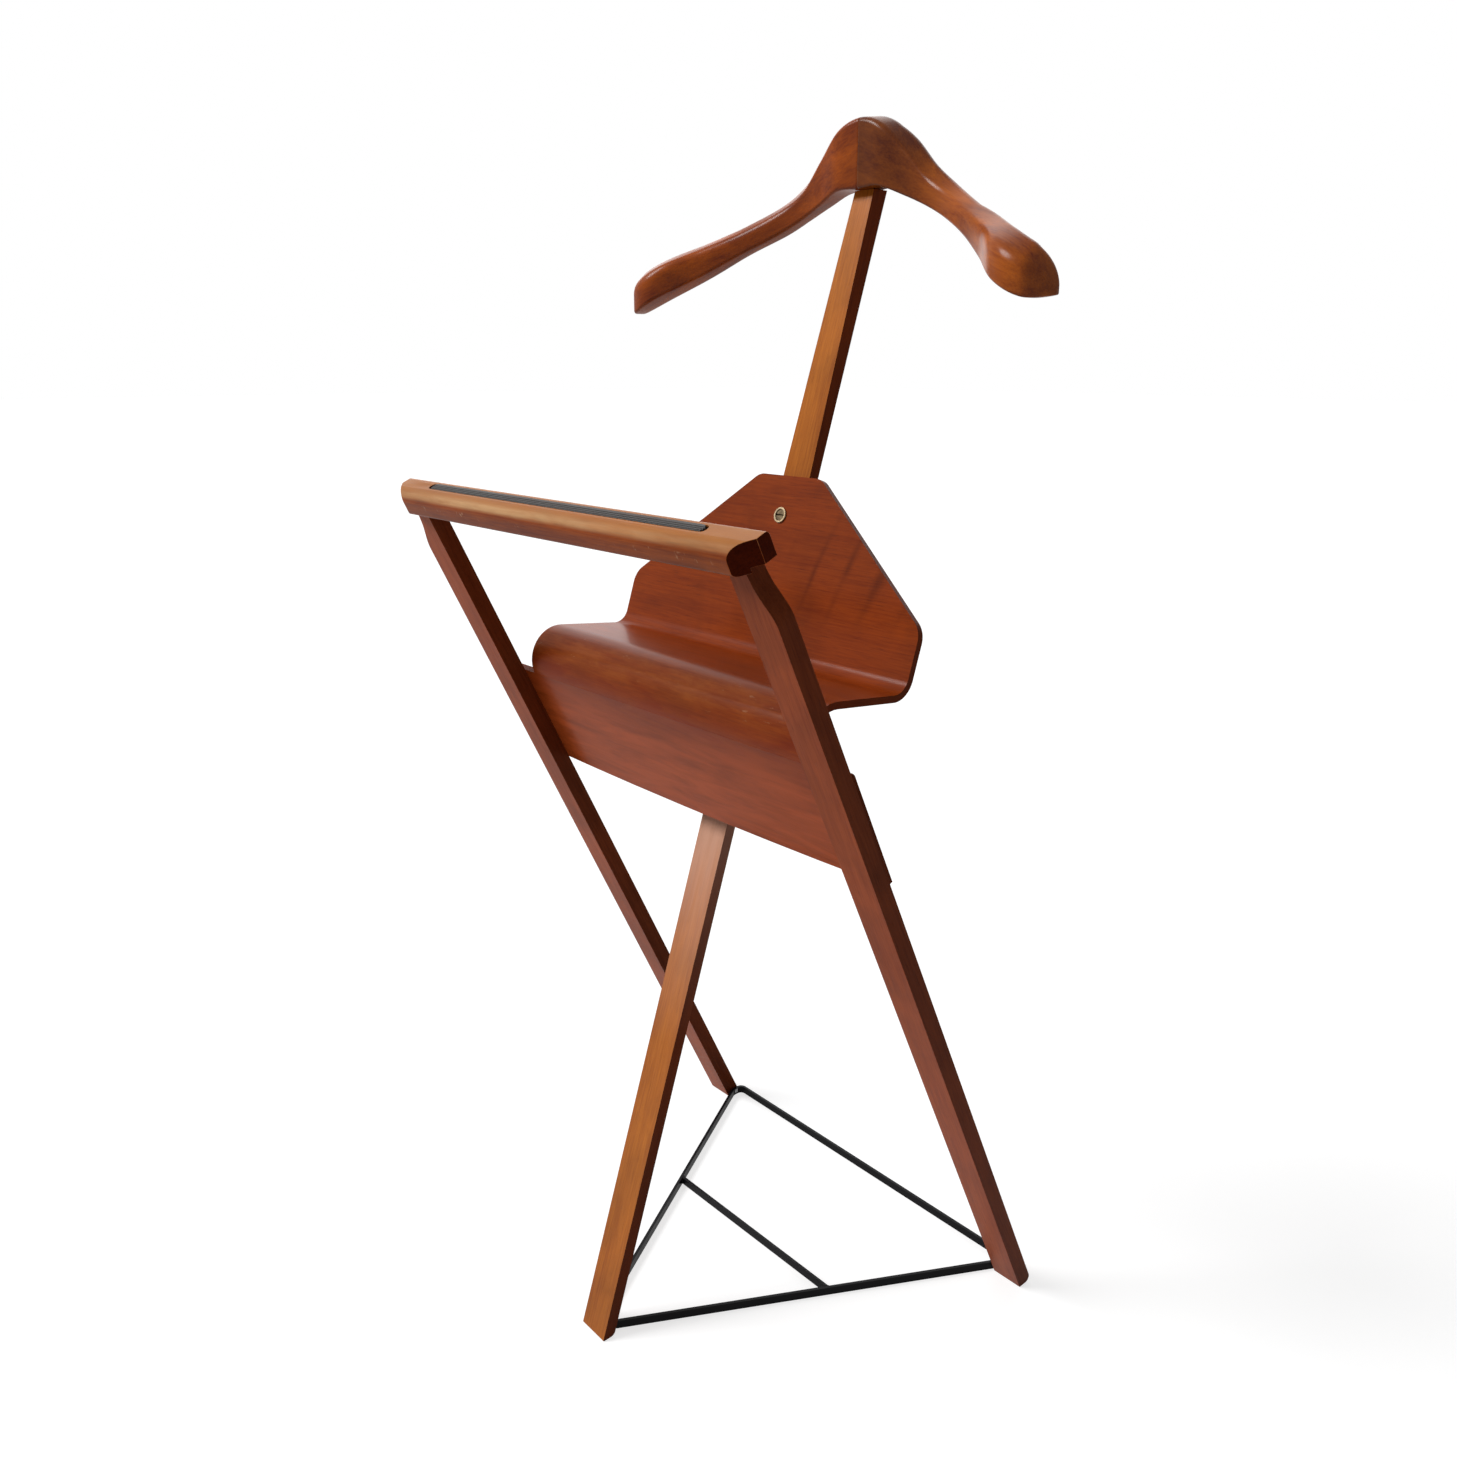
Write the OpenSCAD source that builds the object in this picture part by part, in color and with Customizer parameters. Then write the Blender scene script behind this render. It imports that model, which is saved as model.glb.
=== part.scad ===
// Clothes valet: two leaning legs joined by a trouser bar and a bent wood tray, a base of
// bent flat steel on the floor, and a post that leans back and carries a coat hanger.
// X runs across the valet, Y from the front to the back, Z up from the floor.

/* [Legs] */
// Clear space between the two legs
leg_gap = 400; // [340:5:460]
// Width of a leg across the valet
leg_w = 30; // [26:1:36]
// Thickness of a leg
leg_t = 16; // [14:0.5:20]
// Lean of the legs towards the front, in degrees
leg_lean = 25.6; // [23:0.2:28]
// Length of a leg from the floor to the trouser bar
leg_len = 827; // [780:1:880]
// Width that is left at the top of a leg, where it meets the bar
leg_top_w = 16.5; // [14:0.5:20]
// Length of the tapered stretch at the top of a leg
leg_taper = 41; // [30:1:60]
// Radius of the rounded back corner of every foot
foot_round = 5; // [2:0.5:7]

/* [Trouser bar] */
// How far each end of the bar stands out past the outer face of a leg
bar_over = 2.5; // [0:0.5:10]
// Depth of the bar from its front face to its back face
bar_depth = 26; // [22:0.5:34]
// How far the back face of the bar stands behind the leg
bar_back = 1.3; // [0:0.1:3]
// Height of the bar above the top of a leg
bar_h = 18.5; // [15:0.5:24]
// Depth of the lip that hangs in front of the legs
bar_lip = 4; // [2:0.5:8]
// Radius of the rounded upper front edge
bar_round = 12; // [6:0.5:14]
// Length along the bar of the chamfer on each front corner
bar_chamfer = 18; // [6:1:24]
// Diameter of the dowel between a leg and the bar
bar_dowel_d = 8; // [6:1:10]

/* [Grip strip] */
// Length of the rubber strip on the bar
strip_len = 360; // [240:5:400]
// Width of the rubber strip
strip_w = 8; // [6:0.5:11]
// Distance from the back of the bar to the middle of the strip
strip_back = 9; // [7:0.1:10]
// How far the strip stands above the bar
strip_proud = 0.3; // [0:0.1:2]
// Depth of the groove that holds the strip
strip_sunk = 3; // [2:0.5:5]
// Number of ribs along the strip
strip_ribs = 4; // [2:1:6]
// Depth of the grooves between the ribs
rib_deep = 0.8; // [0.3:0.1:1.5]

/* [Tray] */
// Thickness of the bent sheet
tray_t = 6; // [4:0.5:8]
// Width of the shelf and the panel
tray_w = 367; // [320:1:390]
// Height of the shelf's upper face above the floor, at its front corner line
shelf_z = 632.6; // [610:1:655]
// Slope of the shelf, higher at the front, in degrees
shelf_slope = 6.1; // [2:0.1:9]
// Inner radius of the bend between the panel and the shelf
bend_back = 15; // [12:1:26]
// Inner radius of the bend between the shelf and the apron
bend_front = 25; // [12:1:30]
// Height along the post of the panel's upper edge
panel_top = 809; // [780:1:840]
// Width of the panel's straight upper edge, corner to corner
panel_top_w = 77; // [60:1:140]
// Height along the post at which the panel's slanted edges start
panel_side = 698.4; // [685:1:720]
// Radius of the panel's lower corners
panel_round = 20; // [8:1:30]
// Radius of the panel's upper corners
panel_top_round = 18; // [8:1:24]
// How far the apron's edge stays inside the outer face of a leg
apron_inset = 4; // [2:0.5:8]
// Height along the legs of the apron's lower edge at its ends
apron_low = 532.5; // [515:1:550]
// Height along the legs of the step where the apron widens behind the legs
apron_step = 640; // [630:1:650]
// How far the lower edge bows down in the middle
apron_bow = 4.8; // [0:0.2:12]

/* [Post] */
// Distance on the floor from the rear feet's front edge to the front of the post
post_reach = 344.8; // [330:1:360]
// Lean of the post towards the back, in degrees
post_lean = 17.8; // [16.6:0.1:19]
// Width of the post between the base and the tray
post_w = 35; // [30:1:40]
// Width of the post on the floor
post_foot_w = 32.4; // [28:1:36]
// Width of the post under the hanger
post_top_w = 21.8; // [18:1:26]
// Thickness of the post on the floor
post_foot_t = 12.3; // [11:0.1:15]
// Thickness of the post at its thinnest
post_t = 9.8; // [9:0.1:12]
// Thickness of the post under the hanger
post_top_t = 16.4; // [13:0.1:17]
// Height along the post up to which it gets thinner and wider
post_waist = 450; // [300:10:600]
// Height along the post from which it tapers towards the hanger
post_taper = 762; // [700:1:820]

/* [Hanger] */
// Height of the hanger's underside above the floor, on the post
hanger_z = 1015.5; // [980:0.5:1060]
// Width of the hanger from tip to tip
hanger_span = 492; // [440:2:560]
// Height of the hump above the underside
hanger_h = 61; // [54:0.5:70]
// Thickness of the hump from front to back
hanger_t = 28; // [27:0.5:34]
// How far the front of the hump stands in front of the post
hanger_front = 10.5; // [6:0.5:12]
// Length of the tenon on top of the post
tenon_len = 20; // [12:1:24]

/* [Clamp bolt] */
// Diameter of the bolt's thread
bolt_d = 6; // [5:0.5:8]
// Diameter of the bolt's slotted head
bolt_head_d = 10; // [9:0.5:12]
// Outer diameter of the ring round the head
ring_d = 14; // [13.5:0.5:17]
// Distance of the bolt below the panel's upper edge
bolt_drop = 35.4; // [26:0.2:42]
// Thickness of the washer between the panel and the post
washer_t = 2; // [1:0.1:3]
// Depth of thread that the bolt reaches into the post
bolt_reach = 7.5; // [5:0.5:8.5]

/* [Base] */
// Height of the flat bar, which stands on edge on the floor
flat_h = 8; // [8:0.5:12]
// Thickness of the flat bar
flat_t = 3; // [2.5:0.1:4]
// Distance on the floor from the front edge of a rear foot to the back of the loop
back_reach = 21.3; // [19:0.1:26]
// Distance from the back of the loop to the cross bar, centre to centre
cross_back = 165.9; // [120:0.1:220]
// Half of the loop's width at the post, to where the sides would meet the front
apex_half = 9.2; // [8:0.1:14]
// Diameter of the pin that closes the front of the loop, on which the post turns
pin_d = 5; // [4:0.5:5.5]
// Thickness of the clip that holds the pin to the post
clip_t = 1; // [0.8:0.1:1]

/* [Hidden] */
$fn = 48;

// Clearances
fit = 0.05;         // glued dowels, screws in their holes
turn = 0.06;        // the pin in its clip
free = 0.2;         // the bolt's head in its ring
swing = 0.3;        // the bolt's thread in the washer and the insert, as the post swings away
touch = 0.3;        // the loop beside a leg
eps = 0.01;

// Colours
leg_colour = "#7a3320";
bar_colour = "#5a1f14";
post_colour = "#b56a35";
tray_colour = "#7c4226";
hanger_colour = "#84411f";
dowel_colour = "#c79a63";
flat_colour = "#1b191c";
rubber_colour = "#3b3a3c";
bronze_colour = "#b89a6c";
steel_colour = "#8d8d90";
felt_colour = "#3a2a20";

// Straight and rounded outlines
corner_room = 0.48;
function unit(v) = v / norm(v);
function turn_angle(a) = a - 360 * round(a / 360);
function corner_arc(a, b, c, r, n) =
    let (
        to_a = unit(a - b),
        to_c = unit(c - b),
        half = acos(max(-1, min(1, to_a * to_c))) / 2,
        room = corner_room * min(norm(a - b), norm(c - b)),
        radius = min(r, room * tan(half)),
        centre = b + unit(to_a + to_c) * radius / sin(half),
        start = b + to_a * radius / tan(half) - centre,
        stop = b + to_c * radius / tan(half) - centre,
        from = atan2(start[1], start[0]),
        sweep = turn_angle(atan2(stop[1], stop[0]) - from)
    )
    r <= 0 ? [b] : [for (i = [0 : n]) centre + radius * [cos(from + sweep * i / n), sin(from + sweep * i / n)]];
function round_poly(pts, radii, n = 8) =
    let (m = len(pts))
    [for (i = [0 : m - 1]) each corner_arc(pts[(i + m - 1) % m], pts[i], pts[(i + 1) % m], radii[i], n)];
function line_meet(p, a, q, b) =
    let (da = [cos(a), sin(a)], db = [cos(b), sin(b)], gap = q - p)
    p + da * (gap[0] * db[1] - gap[1] * db[0]) / (da[0] * db[1] - da[1] * db[0]);
function beside(p, a, d) = p + d * [cos(a - 90), sin(a - 90)];

// A smooth curve through the values ys at the places xs
function knot_slope(xs, ys, i) =
    let (last = len(xs) - 1, lo = max(0, i - 1), hi = min(last, i + 1))
    i == 0 ? 0 : (ys[hi] - ys[lo]) / (xs[hi] - xs[lo]);
function knot_before(xs, x, i = 0) = i >= len(xs) - 2 || x < xs[i + 1] ? i : knot_before(xs, x, i + 1);
function smooth(xs, ys, x) =
    let (
        i = knot_before(xs, x),
        w = xs[i + 1] - xs[i],
        t = (x - xs[i]) / w,
        rise = knot_slope(xs, ys, i) * w,
        fall = knot_slope(xs, ys, i + 1) * w
    )
    ys[i] * (2 * t * t * t - 3 * t * t + 1) + rise * (t * t * t - 2 * t * t + t)
    + ys[i + 1] * (3 * t * t - 2 * t * t * t) + fall * (t * t * t - t * t);

// Places along Y that tie the parts together, counted from the rear feet's front edge
pin_r = pin_d / 2;
pin_up = 1;         // lifts the pin above the flat bar's middle, so that the post clears the bar as it swings
pin_z = flat_h / 2 + pin_up;
leg_out = leg_gap / 2 + leg_w;
bar_half = leg_out + bar_over;
bar_front = leg_t + bar_back - bar_depth;
bar_top = leg_len + bar_h;
bar_edge_r = min(bar_round, corner_room * (bar_h + bar_lip));
bar_edge = [bar_front + bar_edge_r, bar_top - bar_edge_r];
front_y = bar_edge[0] * cos(leg_lean) - bar_edge[1] * sin(leg_lean) - bar_edge_r;
rear_y = back_reach;
middle_y = (front_y + rear_y) / 2;

module floor_space() translate([0, -middle_y, 0]) children();
module leg_space() floor_space() rotate([leg_lean, 0, 0]) children();
module post_space() floor_space() translate([0, -post_reach, 0]) rotate([-post_lean, 0, 0]) children();
// An outline drawn as Y and Z, given a width across X
module across(x0, x1) translate([x0, 0, 0]) rotate([90, 0, 90]) linear_extrude(x1 - x0) children();
// An outline drawn as X and Z, given a depth along Y
module through(y0, y1) translate([0, y1, 0]) rotate([90, 0, 0]) linear_extrude(y1 - y0) children();
module both_sides() {
    children();
    mirror([1, 0, 0]) children();
}

// Legs
foot_ease = 1;
leg_knee = 20;
leg_knee_in = 9.5;
dowel_x = (leg_gap + leg_top_w) / 2;
dowel_in_leg = 20;
dowel_in_bar = bar_h - 6;

module leg_side_outline() {
    up = [-sin(leg_lean), cos(leg_lean)];
    back = [cos(leg_lean), sin(leg_lean)];
    polygon(round_poly([[0, 0], leg_len * up, leg_len * up + leg_t * back, [leg_t / cos(leg_lean), 0]],
        [foot_ease, 0, 0, foot_round]));
}
module leg_front_outline() {
    inner = leg_gap / 2;
    knee_x = leg_out - min(leg_knee_in, leg_w - leg_top_w);
    top_x = inner + leg_top_w;
    polygon(round_poly([[inner, -leg_w], [leg_out, -leg_w], [leg_out, leg_len - leg_taper],
        [knee_x, leg_len - leg_knee], [top_x, leg_len], [top_x, leg_len + 1], [inner, leg_len + 1]],
        [0, 0, 30, 40, 0, 0, 0]));
}
module bar_dowel(grow) {
    translate([dowel_x, leg_t / 2, leg_len - dowel_in_leg - grow])
        cylinder(d = bar_dowel_d + 2 * grow, h = dowel_in_leg + dowel_in_bar + 2 * grow);
}
module leg() {
    color(leg_colour) difference() {
        intersection() {
            floor_space() across(leg_gap / 2, leg_out) leg_side_outline();
            leg_space() through(-leg_w, 2 * leg_w) leg_front_outline();
        }
        leg_space() bar_dowel(fit);
        leg_space() screw_places() wood_screw(screw_d + 2 * fit, screw_head_d + 2 * fit, screw_len + fit);
        base_screw_place() wood_screw(screw_d + 2 * fit, base_head_d + 2 * fit, base_screw_len + fit);
    }
}
module leg_right() leg();
module leg_left() mirror([1, 0, 0]) leg();
module bar_dowels() color(dowel_colour) both_sides() leg_space() bar_dowel(0);

// Trouser bar and its rubber strip
strip_u = bar_front + bar_depth - strip_back;
groove_extra = 3.5;
lip_round = 3;
back_round = 3.5;
chamfer_deep = 15;

module bar_outline() {
    back = leg_t + bar_back;
    polygon(round_poly([[back, leg_len], [back, bar_top], [bar_front, bar_top], [bar_front, leg_len - bar_lip],
        [0, leg_len - bar_lip], [0, leg_len]], [0, back_round, bar_round, lip_round, 0.8, 0]));
}
module chamfer_corner() {
    past = 6;
    run = bar_chamfer / chamfer_deep;
    translate([0, 0, leg_len - 2 * bar_lip]) linear_extrude(bar_h + 4 * bar_lip)
        polygon([[bar_half + run * past, bar_front + chamfer_deep + past],
            [bar_half + 2 * past, bar_front - past],
            [bar_half - bar_chamfer - run * past, bar_front - past]]);
}
module long_round(length, width, height) {
    reach = (length - width) / 2;
    linear_extrude(height) {
        translate([-reach, -width / 2]) square([2 * reach, width]);
        for (side = [-1, 1]) translate([side * reach, 0]) circle(d = width);
    }
}
module trouser_bar() {
    color(bar_colour) leg_space() difference() {
        across(-bar_half, bar_half) bar_outline();
        both_sides() chamfer_corner();
        both_sides() bar_dowel(fit);
        translate([0, strip_u, bar_top - strip_sunk])
            long_round(strip_len + 2 * groove_extra, strip_w + 4 * fit, strip_sunk + 1);
    }
}
module grip_strip() {
    rib_gap = strip_w / strip_ribs;
    rib_cut = 0.45 * rib_gap;
    color(rubber_colour) leg_space() translate([0, strip_u, bar_top - strip_sunk]) difference() {
        long_round(strip_len, strip_w, strip_sunk + strip_proud);
        for (i = [1 : strip_ribs - 1])
            translate([0, rib_gap * i - strip_w / 2, strip_sunk + strip_proud])
                cube([strip_len + 2, rib_cut, 2 * rib_deep], center = true);
    }
}

// Tray: one sheet bent twice, drawn from its panel down to its apron
tray_off = washer_t + tray_t;
panel_dir = 270 - post_lean;
shelf_dir = 180 - shelf_slope;
apron_dir = 270 + leg_lean;
apron_half = leg_out - apron_inset;
apron_round = 2;
front_bend_out = bend_front + tray_t;
panel_at = [-post_reach, 0] + tray_off * [-cos(post_lean), sin(post_lean)];
apron_at = leg_t * [cos(leg_lean), sin(leg_lean)];
shelf_at = [(leg_t - shelf_z * sin(leg_lean)) / cos(leg_lean), shelf_z];
back_bend = line_meet(beside(panel_at, panel_dir, bend_back), panel_dir,
    beside(shelf_at, shelf_dir, bend_back), shelf_dir);
front_bend = line_meet(beside(shelf_at, shelf_dir, -front_bend_out), shelf_dir,
    beside(apron_at, apron_dir, -front_bend_out), apron_dir);
panel_end = panel_at + (panel_top + 1) * [sin(post_lean), cos(post_lean)];
apron_end = apron_at + (apron_low - apron_bow - 1) * [-sin(leg_lean), cos(leg_lean)];
bend_steps = 14;

function bend_arc(centre, side, from, to) =
    [for (i = [0 : bend_steps]) beside(centre, from + (to - from) * i / bend_steps, side)];
function sheet_face(under) = concat(
    [beside(panel_end, panel_dir, -under)],
    bend_arc(back_bend, -bend_back - under, panel_dir, shelf_dir),
    bend_arc(front_bend, front_bend_out - under, shelf_dir, apron_dir),
    [beside(apron_end, apron_dir, -under)]);
function turned(list) = [for (i = [len(list) - 1 : -1 : 0]) list[i]];

module sheet_outline() polygon(concat(sheet_face(0), turned(sheet_face(tray_t))));
module panel_outline() {
    side = tray_w / 2;
    top = panel_top_w / 2;
    polygon(round_poly([[-side, 0], [side, 0], [side, panel_side], [top, panel_top], [-top, panel_top],
        [-side, panel_side]], [0, 0, panel_round, panel_top_round, panel_top_round, panel_round], 10));
}
module apron_outline() {
    low = apron_low - apron_bow;
    bow = [for (i = [-12 : 12]) [apron_half * i / 12, low + apron_bow * pow(i / 12, 2)]];
    difference() {
        polygon(round_poly([[-apron_half, low - 9], [apron_half, low - 9], [apron_half, apron_step],
            [-apron_half, apron_step]], [0, 0, apron_round, apron_round], 4));
        polygon(concat([[apron_half + 1, low - 10], [-apron_half - 1, low - 10],
            [-apron_half - 1, apron_low]], bow, [[apron_half + 1, apron_low]]));
    }
}
module tray() {
    color(tray_colour) difference() {
        union() {
            intersection() {
                floor_space() across(-tray_w / 2, tray_w / 2) sheet_outline();
                post_space() through(-post_reach, post_reach) panel_outline();
                leg_space() translate([0, 0, apron_step - 2]) sheet_above_apron();
            }
            leg_space() through(leg_t, leg_t + tray_t) apron_outline();
        }
        leg_space() both_sides() screw_places()
            wood_screw(screw_d + 2 * fit, screw_head_d + 2 * fit, screw_len + fit);
        bolt_place() translate([0, 0, -tray_off - 1]) cylinder(d = ring_barrel_d + 2 * fit, h = tray_t + 2);
    }
}
// Everything but the stretch of the apron that is drawn with its own outline
module sheet_above_apron() {
    difference() {
        translate([-post_reach, -post_reach, -post_reach]) cube(3 * post_reach);
        translate([-tray_w, leg_t - 2, -post_reach]) cube([2 * tray_w, tray_t + 4, post_reach]);
    }
}

// Screws
screw_d = 3.8;
screw_head_d = 8;
screw_len = 17;
screw_x = leg_gap / 2 + 13;
screw_low = 28;
slot_w = 1.2;
screw_high = 26;

// A countersunk screw along +Z, its head's face at zero
module wood_screw(shank_d, head_d, length) {
    sink = (head_d - shank_d) / 2;
    tip = shank_d / 2;
    rotate_extrude() polygon([[0, -eps], [head_d / 2, -eps], [head_d / 2, 0.3], [shank_d / 2, sink + 0.3],
        [shank_d / 2, length - tip], [0.3, length], [0, length]]);
}
module screw_places() {
    for (w = [apron_low + screw_low, apron_step - screw_high])
        translate([screw_x, leg_t + tray_t, w]) rotate([90, 0, 0]) children();
}
module slot_cut(head_d, deep) cube([head_d + 1, slot_w, 2 * deep], center = true);
module tray_screws() {
    color(steel_colour) both_sides() leg_space() screw_places() difference() {
        wood_screw(screw_d, screw_head_d, screw_len);
        slot_cut(screw_head_d, 1);
    }
}

// Clamp bolt through the panel and the washer into the post, drawn along +Z from the post's face
bolt_at = panel_top - bolt_drop;
ring_proud = 1.5;
ring_wall = 1;
ring_floor = 1.2;
ring_barrel_d = bolt_head_d + 2 * free + 2 * ring_wall;
ring_deep = tray_t - 1;
head_proud = 0.6;
head_h = ring_deep - ring_floor + head_proud;
washer_d = 22;
insert_wall = 1.7;
insert_d = bolt_d + 2 * swing + 2 * insert_wall;
insert_len = 8.8;

module bolt_place() post_space() translate([0, 0, bolt_at]) rotate([-90, 0, 0]) children();
module bolt_ring() {
    color(bronze_colour) bolt_place() translate([0, 0, -tray_off]) difference() {
        union() {
            translate([0, 0, -ring_proud]) cylinder(d = max(ring_d, ring_barrel_d + 1), h = ring_proud);
            translate([0, 0, -eps]) cylinder(d = ring_barrel_d, h = ring_deep);
        }
        translate([0, 0, -ring_proud - 1])
            cylinder(d = bolt_head_d + 2 * free, h = ring_proud + 1 + ring_deep - ring_floor);
        cylinder(d = bolt_d + 2 * swing, h = tray_off);
    }
}
module spacer_washer() {
    color(felt_colour) bolt_place() difference() {
        translate([0, 0, -washer_t]) cylinder(d = washer_d, h = washer_t);
        translate([0, 0, -washer_t - 1]) cylinder(d = bolt_d + 2 * swing, h = washer_t + 2);
    }
}
module clamp_bolt() {
    seat = -tray_off + ring_deep - ring_floor;
    color(bronze_colour) bolt_place() difference() {
        union() {
            translate([0, 0, seat - head_h]) cylinder(d = bolt_head_d, h = head_h);
            translate([0, 0, seat - eps]) cylinder(d = bolt_d, h = bolt_reach - seat - 1 + eps);
            translate([0, 0, bolt_reach - 1]) cylinder(d1 = bolt_d, d2 = bolt_d - 2, h = 1);
        }
        translate([0, 0, seat - head_h]) slot_cut(bolt_head_d, 1.6);
    }
}
module thread_insert() {
    color(bronze_colour) bolt_place() difference() {
        cylinder(d = insert_d, h = insert_len);
        translate([0, 0, -1]) cylinder(d = bolt_d + 2 * swing, h = insert_len + 2);
    }
}

// Base: one flat bar on edge that runs round from the post to the legs and behind them
apex_bend = 5;
knee_bend = 12;
rear_bend = 7;
knee_y = 6;
back_y = back_reach - flat_t / 2;
side_x = leg_gap / 2 - touch - flat_t / 2;
clip_out = pin_r + turn + clip_t;
clip_in = post_foot_t + clip_out;
clip_up = (pin_z + clip_in * sin(post_lean)) / cos(post_lean);
apex_y = -post_reach + clip_in * cos(post_lean) + clip_up * sin(post_lean);
splay = atan((side_x - apex_half) / (knee_y - apex_y));
apex_run = (apex_bend + flat_t / 2) * tan((90 - splay) / 2);
knee_run = knee_bend * tan(splay / 2);
pin_half = apex_half - apex_run;
cross_y = back_y - cross_back;
base_screw_y = (knee_y + knee_run + back_y - rear_bend) / 2;
base_head_d = 6.4;
base_screw_in = 12;
base_screw_len = flat_t + touch + base_screw_in;

// The corners of the loop's centre line, from the front right one round to the front left one
loop_corners = [[apex_half, apex_y], [side_x, knee_y], [side_x, back_y],
    [-side_x, back_y], [-side_x, knee_y], [-apex_half, apex_y]];
loop_bends = [apex_bend, knee_bend, rear_bend, rear_bend, knee_bend, apex_bend];
function moved_out(pts, i, d) =
    let (
        m = len(pts),
        ahead = unit(pts[(i + 1) % m] - pts[i]),
        behind = unit(pts[i] - pts[(i + m - 1) % m]),
        out_ahead = [ahead[1], -ahead[0]],
        out_behind = [behind[1], -behind[0]]
    )
    pts[i] + d * (out_ahead + out_behind) / (1 + out_ahead * out_behind);
function loop_line(d) = round_poly([for (i = [0 : len(loop_corners) - 1]) moved_out(loop_corners, i, d)],
    [for (r = loop_bends) r + d], 10);
module bent_bar() {
    linear_extrude(flat_h) difference() {
        polygon(loop_line(flat_t / 2));
        polygon(loop_line(-flat_t / 2));
        translate([-pin_half, apex_y - flat_t]) square([2 * pin_half, 2 * flat_t]);
    }
}
module base_screw_place() {
    floor_space() translate([side_x - flat_t / 2, base_screw_y, flat_h / 2]) rotate([0, 90, 0]) children();
}
module base_loop() {
    color(flat_colour) difference() {
        floor_space() bent_bar();
        both_sides() base_screw_place()
            wood_screw(screw_d + 2 * fit, base_head_d + 2 * fit, base_screw_len + fit);
    }
}
module base_cross_bar() {
    inner = (flat_t / 2) / cos(splay) + fit;
    function end_x(y) = apex_half + (y - apex_y) * tan(splay) - inner;
    front = cross_y - flat_t / 2;
    back = cross_y + flat_t / 2;
    color(flat_colour) floor_space() linear_extrude(flat_h)
        polygon([[-end_x(front), front], [end_x(front), front], [end_x(back), back], [-end_x(back), back]]);
}
module base_pin() {
    color(flat_colour) floor_space() translate([0, apex_y, pin_z]) rotate([0, 90, 0])
        cylinder(r = pin_r, h = 2 * (pin_half - fit), center = true);
}
module base_screws() {
    color(steel_colour) both_sides() base_screw_place() difference() {
        wood_screw(screw_d, base_head_d, base_screw_len);
        slot_cut(base_head_d, 1);
    }
}

// Clip that turns on the pin and is screwed to the back of the post
clip_side = 0.3;
clip_w = 2 * (pin_half - clip_side);
clip_tail = 22;
clip_screw_up = 15;
clip_screw_d = 3;
clip_screw_head = 6;
clip_screw_h = 1.6;
clip_screw_in = 8;
tail_w = 10;

module clip_place() post_space() translate([0, clip_in, clip_up]) children();
module clip_screw_place() {
    post_space() translate([0, post_foot_t + clip_t + clip_screw_h, clip_up + clip_screw_up])
        rotate([90, 0, 0]) children();
}
module clip_screw_body(grow) {
    cylinder(d = clip_screw_head + 2 * grow, h = clip_screw_h);
    translate([0, 0, clip_screw_h - eps])
        cylinder(d = clip_screw_d + 2 * grow, h = clip_t + clip_screw_in + grow + eps);
}
module foot_clip() {
    color(steel_colour) difference() {
        clip_place() union() {
            rotate([0, 90, 0]) cylinder(r = clip_out, h = clip_w, center = true);
            translate([-clip_w / 2, -clip_out, 0]) cube([clip_w, clip_t, clip_out + 1]);
            translate([-tail_w / 2, -clip_out, clip_out]) cube([tail_w, clip_t, clip_tail - clip_out]);
        }
        clip_place() rotate([0, 90, 0]) cylinder(r = pin_r + turn, h = 2 * clip_w, center = true);
        clip_screw_place() clip_screw_body(fit);
    }
}
module clip_screw() {
    color(steel_colour) clip_screw_place() difference() {
        clip_screw_body(0);
        slot_cut(clip_screw_head, 0.8);
    }
}

// Post: straight in front, thinner at its waist and thicker under the hanger
shoulder_front = hanger_z / cos(post_lean);
post_ease = 900;
tenon_side = 3;
tenon_back = 10;

module post_side_outline() {
    polygon(round_poly([[0, 0], [post_foot_t, post_foot_t * tan(post_lean)], [post_t, post_waist],
        [post_t, post_taper], [post_top_t, shoulder_front + post_top_t * tan(post_lean)], [0, shoulder_front]],
        [foot_ease, foot_round, post_ease, post_ease, 0, 0]));
}
module post_front_outline() {
    foot = post_foot_w / 2;
    middle = post_w / 2;
    top = post_top_w / 2;
    high = shoulder_front + post_top_t;
    polygon(round_poly([[-foot, -post_w], [foot, -post_w], [foot, 0], [middle, post_waist], [middle, post_taper],
        [top, high], [-top, high], [-middle, post_taper], [-middle, post_waist], [-foot, 0]],
        [0, 0, 0, post_ease, post_ease, 0, 0, post_ease, post_ease, 0]));
}
module tenon(grow) {
    half = post_top_w / 2 - tenon_side + grow;
    translate([-half, tenon_side - grow, shoulder_front - 4])
        cube([2 * half, tenon_back - tenon_side + 2 * grow, 4 + tenon_len + grow]);
}
module post() {
    color(post_colour) difference() {
        post_space() union() {
            intersection() {
                across(-post_w / 2, post_w / 2) post_side_outline();
                through(-post_w, post_w) post_front_outline();
            }
            tenon(0);
        }
        bolt_place() translate([0, 0, -1]) cylinder(d = insert_d, h = insert_len + 1);
        bolt_place() cylinder(d = bolt_d + 2 * swing, h = post_top_t);
        clip_screw_place() clip_screw_body(fit);
    }
}

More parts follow.
